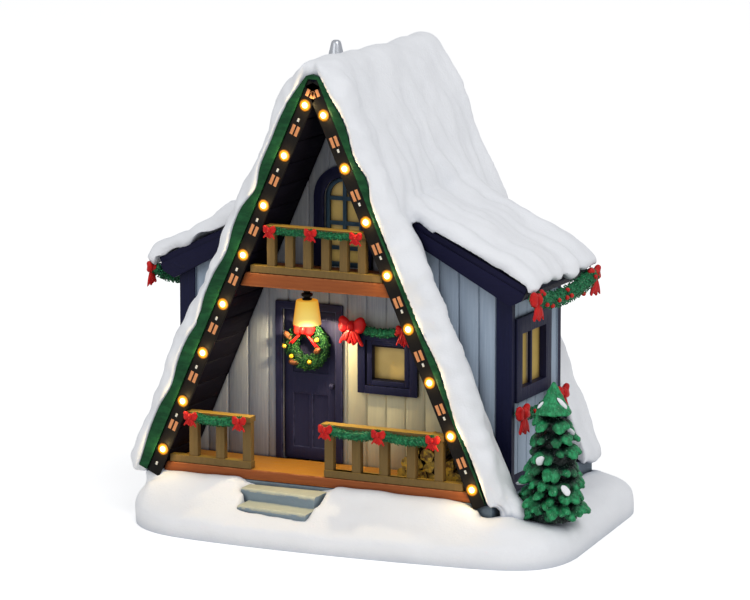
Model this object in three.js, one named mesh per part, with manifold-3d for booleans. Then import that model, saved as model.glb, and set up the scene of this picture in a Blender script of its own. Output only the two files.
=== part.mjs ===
// A lit A-frame chalet for a model winter village: a cast and painted house on a soft snow base.
// Millimetres, +Z up. The front gable looks towards -Y, +X is to the right of someone facing it.
// The origin lies on the flat underside of the base, below the middle of the ridge.
// Inside the house group y is measured back from the plane of the front gable.

import * as THREE from 'three';
import { mergeVertices } from 'three/addons/utils/BufferGeometryUtils.js';
import Module from 'manifold-3d';

const wasm = await Module();
wasm.setup();

// ---------------------------------------------------------------- driving dimensions

const PITCH = THREE.MathUtils.degToRad(65.92); // slope of the A-frame roof
const APEX_Z = 161; // where the two centre lines of the light strip would meet
const HOUSE_DEPTH = 92; // front gable plane to the rear edge of the roof
const GAP = 0.3; // painted-on seat between neighbouring castings

const BASE_HEIGHT = 18; // crown of the snow base under the house
const FOUNDATION_TOP = 18.2;
const FOUNDATION_HALF = 68;
const FOUNDATION_FOOT = 9;

const ROOF_INSIDE = -2; // soffit, measured square to the slope from the light strip's line
const ROOF_OUTSIDE = 3; // upper face of the roof boards, measured the same way
const ROOF_CAP_Z = 163.5; // the ridge is planed off level
const SNOW_UNDER = ROOF_OUTSIDE + GAP;
const SNOW_THICK = 5; // common thickness of the snow on the steep slopes
const SNOW_BY_WING = 1.9; // it thins out where it runs down beside a wing's front wall
const SNOW_ROLL = 3.1; // the snow rolls over the front edge, so much thicker than behind it
const SNOW_REAR_ROLL = 1.8;
const SNOW_FOOT_Z = 17.4; // underside of the snow where it hangs past the foundation
const RIDGE_RADIUS = 7.6; // roundness of the snow along the ridge
const SNOW_RIDGE_Z = 169.8;

const WALL = 3; // thickness of the walls
const WALL_FRONT = 24; // the front wall stands this far back, under the roof
const REAR_WALL_BACK = 89;
const PORCH_TOP = 22;
const BALCONY_TOP = 93.3;
const BALCONY_THICK = 5;

const WING_FRONT = 24; // outer face of a side wing's front wall
const WING_BACK = 66;
const WING_SIDE = 65; // outer face of a side wing's long wall
const WING_ROOF_FRONT = 20;
const WING_ROOF_BACK = 76;
const WING_EAVE = 72.3;
const WING_EAVE_Z = 92.1;
const WING_SLOPE = 0.477; // fall of the wing roof for each millimetre outwards
const WING_ROOF_THICK = 3;
const WING_SNOW_TOP_Z = 119.5; // the wing's snow meets the snow of the main roof here

const STRIP_WIDTH = 5;
const STRIP_THICK = 0.8;
const LIGHT_PITCH = 20;
const LIGHTS_A_LEG = 8;
const FIRST_LIGHT = { left: 7.1, right: 10.5 }; // from the apex down each leg

// ---------------------------------------------------------------- paints and castings

const paint = (color, roughness = 0.55, metalness = 0) =>
  new THREE.MeshStandardMaterial({ color, roughness, metalness });

const PAINT = {
  snow: paint(0xe6e8ec, 0.6),
  slate: paint(0x55646e),
  stone: paint(0x8f9a9c),
  decking: paint(0xb8782c),
  terracotta: paint(0x96502f),
  wall: paint(0x9ba6b5),
  navy: paint(0x24244a),
  door: paint(0x3a3a58),
  teal: paint(0x3c5560),
  pane: paint(0xa58c46, 0.35),
  railing: paint(0x82693c),
  garland: paint(0x2f6e48),
  ribbon: paint(0xc41e1e, 0.4),
  trim: paint(0x1e5537),
  strip: paint(0x151515, 0.45),
  lamp: paint(0xf0d9a0, 0.4),
  bark: paint(0x7a5a30, 0.8),
  steel: paint(0xb9bcc0, 0.3, 0.8),
  tree: paint(0x2d9b5f),
};

// ---------------------------------------------------------------- solids

const house = new THREE.Group();
house.position.y = -HOUSE_DEPTH / 2;

// A closed three.js geometry as a solid that can be joined and cut.
function solid(geometry) {
  const bare = geometry.index ? geometry.toNonIndexed() : geometry.clone();
  for (const name of Object.keys(bare.attributes)) {
    if (name !== 'position') bare.deleteAttribute(name);
  }
  const merged = mergeVertices(bare, 1e-4);
  return new wasm.Manifold(new wasm.Mesh({
    numProp: 3,
    vertProperties: new Float32Array(merged.attributes.position.array),
    triVerts: new Uint32Array(merged.index.array),
  }));
}

// The geometry of a joined or cut solid.
function surface(body) {
  const found = body.getMesh();
  const geometry = new THREE.BufferGeometry();
  geometry.setAttribute('position', new THREE.BufferAttribute(found.vertProperties, 3));
  geometry.setIndex(new THREE.BufferAttribute(found.triVerts, 1));
  geometry.computeVertexNormals();
  return geometry;
}

// Names a finished solid or geometry and sets it in the house.
function place(name, shape, material) {
  const geometry = shape.isBufferGeometry ? shape : surface(shape);
  const mesh = new THREE.Mesh(geometry, material.clone());
  mesh.name = name;
  house.add(mesh);
  return mesh;
}

const joined = (bodies) => bodies.reduce((all, body) => all.add(body));

function block(x0, x1, y0, y1, z0, z1) {
  const box = new THREE.BoxGeometry(x1 - x0, y1 - y0, z1 - z0);
  return solid(box.translate((x0 + x1) / 2, (y0 + y1) / 2, (z0 + z1) / 2));
}

// A block given for the right-hand side of the house, or its mirror image on the left.
function sideBlock(side, x0, x1, y0, y1, z0, z1) {
  return side > 0 ? block(x0, x1, y0, y1, z0, z1) : block(-x1, -x0, y0, y1, z0, z1);
}

function outline(points) {
  return new THREE.Shape(points.map(([u, v]) => new THREE.Vector2(u, v)));
}

// A profile of radius and height, from the foot upwards, turned round an upright axis.
function turned(profile, segments = 16) {
  const points = profile.map(([r, h]) => new THREE.Vector2(r, h));
  return solid(new THREE.LatheGeometry(points, segments).rotateX(Math.PI / 2));
}

// An outline drawn in x and z, extruded from y0 back to y1.
function gablePlate(shape, y0, y1, curveSegments = 12) {
  const options = { depth: y1 - y0, bevelEnabled: false, curveSegments };
  const plate = new THREE.ExtrudeGeometry(shape, options);
  return solid(plate.rotateX(Math.PI / 2).translate(0, y1, 0));
}

// An outline drawn in y and z, extruded from x0 to x1.
function sidePlate(shape, x0, x1) {
  const plate = new THREE.ExtrudeGeometry(shape, { depth: x1 - x0, bevelEnabled: false });
  const turn = new THREE.Matrix4().makeBasis(
    new THREE.Vector3(0, 1, 0), new THREE.Vector3(0, 0, 1), new THREE.Vector3(1, 0, 0));
  return solid(plate.applyMatrix4(turn).translate(x0, 0, 0));
}

// A closed skin through equally long rings of points, with a flat cap at each end.
function loft(rings, flat) {
  const count = rings[0].length;
  const positions = rings.flat().flatMap((p) => [p.x, p.y, p.z]);
  const index = [];
  for (let r = 0; r < rings.length - 1; r += 1) {
    for (let i = 0; i < count; i += 1) {
      const j = (i + 1) % count;
      const a = r * count + i;
      const b = r * count + j;
      index.push(a, b, b + count, a, b + count, a + count);
    }
  }
  const inPlane = (ring) => ring.map((p) => new THREE.Vector2(p[flat[0]], p[flat[1]]));
  const capped = THREE.ShapeUtils.triangulateShape(inPlane(rings[0]), []);
  const last = (rings.length - 1) * count;
  const lastCap = THREE.ShapeUtils.triangulateShape(inPlane(rings[rings.length - 1]), []);
  const windsLikeRing = isRingOrder(capped[0], inPlane(rings[0]));
  const turnedOver = ([a, b, c]) => [a, c, b];
  for (const face of capped) index.push(...(windsLikeRing ? turnedOver(face) : face));
  for (const face of lastCap) {
    index.push(...(windsLikeRing ? face : turnedOver(face)).map((i) => last + i));
  }
  const skin = new THREE.BufferGeometry();
  skin.setAttribute('position', new THREE.BufferAttribute(new Float32Array(positions), 3));
  skin.setIndex(volume(positions, index) < 0 ? index.reverse() : index);
  return skin;
}

// Whether a cap triangle turns the same way round as the ring it fills.
function isRingOrder(triangle, ring) {
  const [a, b, c] = triangle.map((i) => ring[i]);
  const turn = (b.x - a.x) * (c.y - a.y) - (b.y - a.y) * (c.x - a.x);
  return turn * THREE.ShapeUtils.area(ring) > 0;
}

function volume(positions, index) {
  let total = 0;
  const at = (i) => new THREE.Vector3().fromArray(positions, 3 * i);
  for (let i = 0; i < index.length; i += 3) {
    total += at(index[i]).dot(at(index[i + 1]).cross(at(index[i + 2]))) / 6;
  }
  return total;
}

// The rings of a round rope or bar along a curve.
function rope(curve, radius, steps, sides) {
  const rings = [];
  const frames = curve.computeFrenetFrames(steps, false);
  for (let s = 0; s <= steps; s += 1) {
    const centre = curve.getPointAt(s / steps);
    const ring = [];
    for (let k = 0; k < sides; k += 1) {
      const angle = (2 * Math.PI * k) / sides;
      ring.push(centre.clone()
        .addScaledVector(frames.normals[s], radius * Math.cos(angle))
        .addScaledVector(frames.binormals[s], radius * Math.sin(angle)));
    }
    rings.push(ring);
  }
  return rings;
}

// ---------------------------------------------------------------- the lines of the roof

// Half width of the A at height z, for a line lifted square to the slope.
const halfWidth = (z, lift) => (APEX_Z - z) / Math.tan(PITCH) + lift / Math.sin(PITCH);

// Height of a line lifted square to the slope, above a point x out from the middle.
const slopeZ = (x, lift) => APEX_Z + lift / Math.cos(PITCH) - x * Math.tan(PITCH);

// The A between the soffits, from z0 up to z1.
function gableOutline(z0, z1, lift) {
  const peak = slopeZ(0, lift);
  const low = halfWidth(z0, lift);
  if (z1 >= peak) return outline([[-low, z0], [low, z0], [0, peak]]);
  const high = halfWidth(z1, lift);
  return outline([[-low, z0], [low, z0], [high, z1], [-high, z1]]);
}

const wingRoofZ = (x) => WING_EAVE_Z + (WING_EAVE - x) * WING_SLOPE;

// ---------------------------------------------------------------- base and steps

const BASE_FRONT = -22;
const BASE_REAR = 99;
const BASE_LEFT = -75.3;
const BASE_RIGHT = 95.8;
const BASE_RIGHT_REAR = 88.4; // the right side closes in towards the back
const BASE_POINTS = 88;
const SHOULDER = 3.5; // width of the rounded rim
const SIDE_SNOW = { rim: 10.6, climb: 0.5 }; // height of the rim and climb for each millimetre inwards
const FRONT_SNOW = { rim: 8.4, climb: 0.56 }; // the front lies lower, so that the steps stand clear
const TREE_GROUND = 12.4;
const BACK_GROUND = 13;

// The outline of the base, wider on the right where the tree stands, with a full front.
function baseOutline() {
  const shape = new THREE.Shape();
  shape.moveTo(BASE_LEFT, 20);
  shape.bezierCurveTo(BASE_LEFT, -8, BASE_LEFT + 16, BASE_FRONT + 2, BASE_LEFT + 34, BASE_FRONT + 1);
  shape.bezierCurveTo(-20, BASE_FRONT - 1.6, 24, BASE_FRONT - 1.2, 56, BASE_FRONT + 2.5);
  shape.bezierCurveTo(87, BASE_FRONT + 4.6, BASE_RIGHT + 1.2, BASE_FRONT + 10, BASE_RIGHT, 12);
  shape.lineTo(BASE_RIGHT_REAR + 0.6, 74);
  shape.bezierCurveTo(BASE_RIGHT_REAR - 0.6, 92, BASE_RIGHT_REAR - 8, BASE_REAR, 66, BASE_REAR);
  shape.lineTo(BASE_LEFT + 22, BASE_REAR);
  shape.bezierCurveTo(BASE_LEFT + 6, BASE_REAR, BASE_LEFT, BASE_REAR - 8, BASE_LEFT, BASE_REAR - 22);
  shape.lineTo(BASE_LEFT, 20);
  return shape.getSpacedPoints(BASE_POINTS).slice(0, BASE_POINTS);
}

// Height of the snow a distance in from the rim: a soft shoulder that climbs to the house.
function snowShoulder(inward, { rim, climb }) {
  const foot = 5;
  return foot + (rim - foot) * Math.sqrt(Math.min(inward, SHOULDER) / SHOULDER)
    + Math.max(0, inward - SHOULDER) * climb;
}

// The ground lies lower to the right of the house, where the tree stands, and rises behind it.
function plateauAt(point) {
  const side = THREE.MathUtils.smoothstep(point.x, 58, 72);
  const back = THREE.MathUtils.smoothstep(point.y, 24, 44);
  const ground = THREE.MathUtils.lerp(TREE_GROUND, BACK_GROUND, back);
  return THREE.MathUtils.lerp(BASE_HEIGHT - 0.2, ground, side);
}

function groundAt(point, inward) {
  const front = THREE.MathUtils.smoothstep(-point.y, 2, 12);
  const bySide = snowShoulder(inward, SIDE_SNOW);
  const byFront = snowShoulder(inward, FRONT_SNOW);
  return Math.min(THREE.MathUtils.lerp(bySide, byFront, front), plateauAt(point));
}

function base() {
  const rim = baseOutline();
  const toHouse = (p) => {
    const core = new THREE.Vector2(
      THREE.MathUtils.clamp(p.x, -54, 54), THREE.MathUtils.clamp(p.y, 14, 79));
    const roundness = 11;
    return core.add(p.clone().sub(core).setLength(roundness));
  };
  const ringAt = (inward, height) => rim.map((p) => {
    const target = toHouse(p);
    const reach = p.distanceTo(target);
    const q = p.clone().lerp(target, Math.min(inward / reach, 1));
    return new THREE.Vector3(q.x, q.y, height ?? groundAt(q, Math.min(inward, reach)));
  });
  const rings = [
    ringAt(0.5, 0), ringAt(0, 1), ringAt(0, 4.4), ringAt(0.8), ringAt(2.4), ringAt(5),
    ringAt(9), ringAt(14), ringAt(20), ringAt(60),
  ];
  const pocket = block(-FOUNDATION_HALF - GAP, FOUNDATION_HALF + GAP, 1 - GAP, HOUSE_DEPTH - 1 + GAP,
    FOUNDATION_FOOT - GAP, BASE_HEIGHT + 5);
  return solid(loft(rings, ['x', 'y'])).subtract(pocket);
}

const steps = porchSteps();
place('snow_base', base().subtract(steps.seat).subtract(stripFeet()), PAINT.snow);
place('porch_steps', steps.body, PAINT.stone);
place('foundation', foundation(), PAINT.slate);

function foundation() {
  return block(-FOUNDATION_HALF, FOUNDATION_HALF, 1, HOUSE_DEPTH - 1, FOUNDATION_FOOT, FOUNDATION_TOP);
}

// Hollows in the snow where the two ends of the light strip reach down.
function stripFeet() {
  return block(-70, -59.5, -1.8, 1.2, 15.2, 30).add(block(59.5, 70, -1.8, 1.2, 15.2, 30));
}

// Two worn stone steps, laid a little askew in the snow in front of the porch.
function porchSteps() {
  const skew = -6; // degrees, the right-hand end further out
  const middle = -10.6;
  const back = 8;
  const stones = [
    { left: -15.4, right: 15.4, front: -6.9, low: 8, high: 16.7 },
    { left: -12.4, right: 16.2, front: -14.2, low: 7, high: 12.1 },
  ];
  const profile = ({ front, low, high }) => outline([
    [front, low], [back, low], [back, high + 0.9], [front + 0.7, high], [front, high - 0.8],
  ]);
  const lay = (body) => body.rotate([0, 0, skew]).translate([middle, 0, 0]);
  const beforePorch = block(-60, 60, -60, 0.4, 0, 40);
  const cast = stones.map((stone) => sidePlate(profile(stone), stone.left, stone.right));
  const seats = stones.map(({ left, right, front, low }) =>
    block(left - GAP, right + GAP, front - GAP, back, low - GAP, 30));
  return { body: lay(joined(cast)).intersect(beforePorch), seat: lay(joined(seats)) };
}

// ---------------------------------------------------------------- porch and balcony

// Floors are trimmed to the slopes of the roof on either side.
function floorBetweenRoofs(zBottom, zTop, yFront, yBack) {
  return gablePlate(gableOutline(zBottom, zTop, ROOF_INSIDE - GAP), yFront, yBack);
}

const FLOOR_FRONT = 1.2;
place('porch_floor',
  floorBetweenRoofs(FOUNDATION_TOP + 0.1, PORCH_TOP, FLOOR_FRONT, WALL_FRONT - GAP), PAINT.decking);
place('balcony_floor',
  floorBetweenRoofs(BALCONY_TOP - BALCONY_THICK, BALCONY_TOP, FLOOR_FRONT, WALL_FRONT - GAP),
  PAINT.terracotta);

// A railing: posts between a broad top rail and a foot rail.
function railing({ left, right, topLeft, topRight, foot, top, front, posts, postWidth }) {
  const footHigh = 2.5;
  const topHigh = 2;
  const bars = [
    block(left, right, front, front + 3.2, foot, foot + footHigh),
    block(topLeft, topRight, front - 0.5, front + 4, top - topHigh, top),
  ];
  for (const x of posts) {
    bars.push(block(x - postWidth / 2, x + postWidth / 2, front + 0.4, front + 2.9,
      foot + footHigh / 2, top - topHigh / 2));
  }
  return joined(bars);
}

const spread = (from, to, count) =>
  Array.from({ length: count }, (_, i) => from + ((to - from) * i) / (count - 1));

const RAIL_FRONT = 1.2;
const RAILS = {
  balcony_railing: {
    left: -25.7, right: 25.7, topLeft: -19.8, topRight: 19.4, foot: BALCONY_TOP + 0.2, top: 110.7,
    posts: spread(-17.8, 17.7, 6), postWidth: 3,
  },
  porch_railing_left: {
    left: -58.3, right: -25.8, topLeft: -51.4, topRight: -25.9, foot: PORCH_TOP + 0.2, top: 41,
    posts: spread(-49, -27.6, 3), postWidth: 3.3,
  },
  porch_railing_right: {
    left: 3.1, right: 56.9, topLeft: 2, topRight: 49.9, foot: PORCH_TOP + 0.2, top: 41.3,
    posts: spread(4.8, 47.5, 5), postWidth: 3.3,
  },
};
for (const [name, size] of Object.entries(RAILS)) {
  place(name, railing({ front: RAIL_FRONT, ...size }), PAINT.railing);
}

// ---------------------------------------------------------------- garlands and bows

// A ribbon bow seen from the front: two loops, a knot and two forked tails.
function bow(width, height) {
  const w = width / 2;
  const h = height;
  const half = [
    [0.10, 0.02], [0.38, 0.14], [0.86, 0.22], [1.0, 0.04], [0.92, -0.2], [0.5, -0.2],
    [0.34, -0.16], [0.62, -0.66], [0.36, -0.74], [0.12, -0.3],
  ];
  const right = half.map(([u, v]) => [u * w, v * h]);
  const left = half.map(([u, v]) => [-u * w, v * h]).reverse();
  return outline([...right, ...left]);
}

function bowSolid([width, height, thick]) {
  return gablePlate(bow(width, height), -thick / 2, thick / 2);
}

// A garland hung in swags between bows. Points run along it, each bow sits on a point.
function garland(anchors, { sag, radius, bow: bowSize }, turn = 0) {
  const parts = [];
  for (let i = 0; i < anchors.length - 1; i += 1) {
    const a = anchors[i];
    const b = anchors[i + 1];
    const middle = a.clone().lerp(b, 0.5);
    middle.z -= 2 * sag;
    const curve = new THREE.QuadraticBezierCurve3(a, middle, b);
    parts.push(solid(loft(rope(curve, radius, 6, 7), ropeFlat(a, b))));
  }
  for (const at of anchors) {
    parts.push(bowSolid(bowSize).rotate([0, 0, turn]).translate([at.x, at.y, at.z]));
  }
  return joined(parts);
}

// The plane in which the ends of a rope can be capped.
function ropeFlat(a, b) {
  return Math.abs(b.x - a.x) > Math.abs(b.y - a.y) ? ['y', 'z'] : ['x', 'z'];
}

// Where each swag is tied, how far it hangs, how thick it is and how wide, high and deep its bows are.
const GARLANDS = {
  balcony_garland: {
    xs: [-16.4, -0.4, 17.2], y: -0.8, z: 109.7, sag: 0.7, radius: 1.15, bow: [4.8, 5.4, 2.2],
  },
  porch_garland_left: {
    xs: [-48, -28.6], y: -1.2, z: 40, sag: 1.2, radius: 1.75, bow: [5, 6.3, 2.4],
  },
  porch_garland_right: {
    xs: [5.4, 26.1, 47], y: -1.2, z: 40.1, sag: 1.5, radius: 1.75, bow: [5, 6.3, 2.4],
  },
  window_garland: { xs: [4.8, 25.4], y: 21, z: 73.6, sag: 1.6, radius: 1.6, bow: [9, 9.6, 2.2] },
};
for (const [name, swag] of Object.entries(GARLANDS)) {
  const anchors = swag.xs.map((x) => new THREE.Vector3(x, swag.y, swag.z));
  place(name, garland(anchors, swag), PAINT.garland);
}

// ---------------------------------------------------------------- front wall, door and windows

const DOOR = { left: -24.1, right: -3, top: 76.8 };
const WREATH = { x: -13.5, z: 64.2, radius: 6.1, tube: 3.1, flat: 0.72, bowZ: 70.6 };
const LAMP = { x: -8.7, y: 12, foot: 74.2 };
const WINDOW = { left: 10, right: 25.7, bottom: 52.8, top: 67.5 };
const ARCH = { half: 7.4, centre: 118.4, outer: 11.4 };

function rectangle(left, right, bottom, top) {
  return outline([[left, bottom], [right, bottom], [right, top], [left, top]]);
}

// A round-headed outline standing on z0.
function archOutline(half, z0, centre) {
  const shape = new THREE.Shape();
  shape.moveTo(-half, z0);
  shape.lineTo(half, z0);
  shape.lineTo(half, centre);
  shape.absarc(0, centre, half, 0, Math.PI, false);
  shape.lineTo(-half, z0);
  return shape;
}

function frontWall() {
  const wall = gablePlate(
    gableOutline(FOUNDATION_TOP + 0.1, 200, ROOF_INSIDE - GAP), WALL_FRONT, WALL_FRONT + WALL);
  const cuts = joined([
    block(DOOR.left, DOOR.right, 0, 50, 0, DOOR.top),
    block(WINDOW.left, WINDOW.right, 0, 50, WINDOW.bottom, WINDOW.top),
    gablePlate(archOutline(ARCH.half, BALCONY_TOP + 0.1, ARCH.centre), 0, 50, 10),
  ]);
  return wall.subtract(cuts);
}

const CASING_PROUD = 1.4; // a window's casing stands out from its wall
const CASING_DEEP = 1.2; // its lining steps back into the opening
const CASING_WIDE = 3.8;
const CASING_LIP = 1.5;
const PANE_BACK = 1.5; // face of a pane behind the face of its wall
const PANE_THICK = 1.1;

// A frame laid on the face of a wall, with a lip that steps back into the opening.
function windowFrame({ left, right, bottom, top }, face, sign = -1) {
  const wide = CASING_WIDE;
  const lip = CASING_LIP;
  const [out, outEnd] = [face, face + sign * CASING_PROUD].sort((a, b) => a - b);
  const [deep, deepEnd] = [face, face - sign * CASING_DEEP].sort((a, b) => a - b);
  const frame = block(left - wide, right + wide, out, outEnd, bottom - wide, top + wide);
  const lining = block(left + GAP / 2, right - GAP / 2, deep, deepEnd, bottom + GAP / 2, top - GAP / 2);
  const hole = block(left + lip, right - lip, 0, 120, bottom + lip, top - lip);
  return frame.add(lining).subtract(hole);
}

function pane({ left, right, bottom, top }, face) {
  return block(left + GAP, right - GAP, face, face + PANE_THICK, bottom + GAP, top - GAP);
}

function archFrame() {
  const frame = gablePlate(
    archOutline(ARCH.outer, BALCONY_TOP + 0.2, ARCH.centre), WALL_FRONT - CASING_PROUD, WALL_FRONT, 10);
  return frame.subtract(gablePlate(archOutline(ARCH.half, 0, ARCH.centre), 0, 50, 10));
}

// The upper light: a round-headed sash with one upright bar and bars across it.
function archSash() {
  const half = ARCH.half - GAP;
  const z0 = BALCONY_TOP + 0.3;
  const leaf = gablePlate(archOutline(half, z0, ARCH.centre), WALL_FRONT + 0.3, WALL_FRONT + 1.6, 10);
  const opening = gablePlate(archOutline(half - 1.3, z0 + 1.5, ARCH.centre), 0, 50, 10);
  const bars = [block(-0.7, 0.7, WALL_FRONT + 0.5, WALL_FRONT + 1.5, z0 + 1, ARCH.centre + half - 1)];
  for (const z of spread(100.2, ARCH.centre - 0.4, 3)) {
    bars.push(block(-half + 1, half - 1, WALL_FRONT + 0.5, WALL_FRONT + 1.5, z - 0.7, z + 0.7));
  }
  return leaf.subtract(opening).add(joined(bars));
}

function archPane() {
  const shape = archOutline(ARCH.half - GAP, BALCONY_TOP + 0.4, ARCH.centre);
  return gablePlate(shape, WALL_FRONT + 1.8, WALL_FRONT + 2.8, 10);
}

// A panelled door cast shut: one broad panel above the lock rail, two tall ones below it.
function door() {
  const face = WALL_FRONT + 0.6;
  const leaf = block(DOOR.left + GAP, DOOR.right - GAP, face, face + 1.8, PORCH_TOP + 0.2, DOOR.top - GAP);
  const sink = 0.7;
  const panel = (x0, x1, z0, z1) => block(x0, x1, face - 1, face + sink, z0, z1);
  const knob = solid(new THREE.SphereGeometry(1.1, 8, 6).translate(-4.9, face - 0.5, 49.8));
  return leaf
    .subtract(panel(-20.6, -6.4, 53.8, 73.4))
    .subtract(panel(-20.4, -14.2, 26.6, 46.2))
    .subtract(panel(-12.8, -6.6, 26.6, 46.2))
    .add(knob);
}

function doorFrame() {
  const wide = 2.8;
  const frame = block(DOOR.left - wide, DOOR.right + wide, WALL_FRONT - 1.2, WALL_FRONT, PORCH_TOP + 0.2,
    DOOR.top + wide);
  return frame.subtract(block(DOOR.left, DOOR.right, 0, 50, 0, DOOR.top));
}

place('front_wall', frontWall(), PAINT.wall);
place('door', door(), PAINT.door);
place('door_frame', doorFrame(), PAINT.door);
place('front_window_frame', windowFrame(WINDOW, WALL_FRONT), PAINT.navy);
place('front_window_pane', pane(WINDOW, WALL_FRONT + PANE_BACK), PAINT.pane);
place('gable_window_frame', archFrame(), PAINT.navy);
place('gable_window_sash', archSash(), PAINT.teal);
place('gable_window_pane', archPane(), PAINT.pane);
place('door_wreath', doorWreath(), PAINT.garland);
place('porch_lamp', porchLamp(), PAINT.lamp);
place('firewood', firewood(), PAINT.bark);

// A ring of greenery on the door, with a bow at its head.
function doorWreath() {
  const { x, z, radius, tube, flat, bowZ } = WREATH;
  const ring = new THREE.TorusGeometry(radius, tube, 7, 18).rotateX(Math.PI / 2).scale(1, flat, 1);
  const body = solid(ring.translate(x, WALL_FRONT - 2.3, z));
  return body.add(bowSolid([9, 8, 1.8]).translate([x, WALL_FRONT - 4.4, bowZ]));
}

// A conical shade, open below, on a short stem under the balcony.
function porchLamp() {
  const shade = turned([[0, 8.1], [3.2, 8.1], [4.35, 0], [5.05, 0], [3.9, 8.8], [0, 8.8]]);
  const stem = turned([[0, 8.3], [0.8, 8.3], [1.5, 9.8], [0.8, 11.5], [1.4, 13.7], [0, 13.7]]);
  return shade.add(stem).translate([LAMP.x, LAMP.y, LAMP.foot]);
}

// Split logs heaped against the right-hand end of the porch.
function firewood() {
  const radius = 2.3;
  const rows = [
    { count: 6, x: 30.4, z: 24.6 }, { count: 4, x: 33.6, z: 28.4 }, { count: 2, x: 37.6, z: 32.2 },
  ];
  const logs = [];
  for (const row of rows) {
    for (let i = 0; i < row.count; i += 1) {
      const log = new THREE.CylinderGeometry(radius, radius, 13 - (i % 2), 7);
      logs.push(solid(log.rotateY(i * 0.7).translate(row.x + i * 4.1, 14 + (i % 3) * 0.4, row.z)));
    }
  }
  return joined(logs);
}

// ---------------------------------------------------------------- rear wall

const REAR_WINDOW = { left: -8, right: 8, bottom: 52.8, top: 67.5 };

function rearWall() {
  const { left, right, bottom, top } = REAR_WINDOW;
  const wall = gablePlate(
    gableOutline(FOUNDATION_TOP + 0.1, 200, ROOF_INSIDE - GAP), REAR_WALL_BACK - WALL, REAR_WALL_BACK);
  return wall.subtract(block(left, right, 60, 120, bottom, top));
}

place('rear_wall', rearWall(), PAINT.wall);
place('rear_window_frame', windowFrame(REAR_WINDOW, REAR_WALL_BACK, 1), PAINT.navy);
place('rear_window_pane', pane(REAR_WINDOW, REAR_WALL_BACK - PANE_BACK - PANE_THICK), PAINT.pane);

// ---------------------------------------------------------------- main roof

const mirrored = (points, side) => points.map(([x, z]) => [x * side, z]);

const SKIRT = [[58, ROOF_OUTSIDE], [47, 5.8], [40, 7.4], [34, 5.4], [29, ROOF_OUTSIDE]]; // height, lift
const SKIRT_FRONT = 66.9;
const SKIRT_BACK = 83.6;

// One slope of the roof, which runs from the ridge down to the foundation.
function roofSlope(side) {
  const foot = FOUNDATION_TOP + 0.1;
  const section = [
    [0, slopeZ(0, ROOF_INSIDE)],
    [halfWidth(foot, ROOF_INSIDE), foot],
    [halfWidth(foot, ROOF_OUTSIDE), foot],
    [halfWidth(ROOF_CAP_Z, ROOF_OUTSIDE), ROOF_CAP_Z],
    [0, ROOF_CAP_Z],
  ];
  return gablePlate(outline(mirrored(section, side)), 0, HOUSE_DEPTH).add(skirtBoard(side, 0));
}

// One at a place, fading smoothly to nothing away from it.
const near = (value, at, reach) => Math.exp(-(((value - at) / reach) ** 2));

const sideName = (side) => (side < 0 ? 'left' : 'right');

// Where the rolls over the front and rear edges swell or thin: distance down, millimetres, half width.
const ROLL_SWELLS = {
  left: [[12, 1.4, 7], [28, -1, 7], [45, 1.5, 9], [68, 0.6, 10], [107, 2.5, 18], [155, 1.6, 9]],
  right: [[12, 1, 7], [28, -0.5, 7], [47, 0.5, 9], [68, 0.3, 10], [104, 1.2, 16], [138, 0.4, 14]],
};

const REAR_SWELLS = { left: [], right: [[18, 0.6, 7], [50, -1, 8], [157, -1, 6]] };

const swellAt = (swells, down) =>
  swells.reduce((sum, [at, size, reach]) => sum + size * near(down, at, reach), 0);

// The snow down the slope: long soft folds, fuller at the front and rear edges, thin beside a wing.
function snowThickness(down, y, side) {
  const folds = 0.6 * Math.sin(y * 0.34 + down * 0.012 * side + side) * Math.min(1, down / 25);
  const waves = 0.4 * Math.sin(down * 0.16 + side * 2 + y * 0.05);
  const low = THREE.MathUtils.smoothstep(down, 40, 60);
  const toWing = THREE.MathUtils.smoothstep(y, 8, 22) * (y < WING_BACK ? 1 : 0);
  const body = THREE.MathUtils.lerp(SNOW_THICK, SNOW_BY_WING, low * toWing);
  const roll = (SNOW_ROLL + swellAt(ROLL_SWELLS[sideName(side)], down)) * near(y, 4.5, 6);
  const rearSwell = swellAt(REAR_SWELLS[sideName(side)], down);
  const rearRoll = (SNOW_REAR_ROLL + rearSwell) * near(y, HOUSE_DEPTH, 6);
  return body + (folds + waves) * (1 - 0.5 * low * toWing) + roll + rearRoll;
}

// Thins the snow out towards the front and rear edges of the roof.
function edgeRound(y) {
  const reach = Math.min(y - 0.2, HOUSE_DEPTH + 1.6 - y);
  return Math.sqrt(THREE.MathUtils.clamp(1 - (1 - Math.min(reach, 4) / 4) ** 2, 0.12, 1));
}

// The ridge of the snow dips a little between the gables.
const ridgeDip = (y) => 0.9 * near(y, 64, 17);

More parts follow.
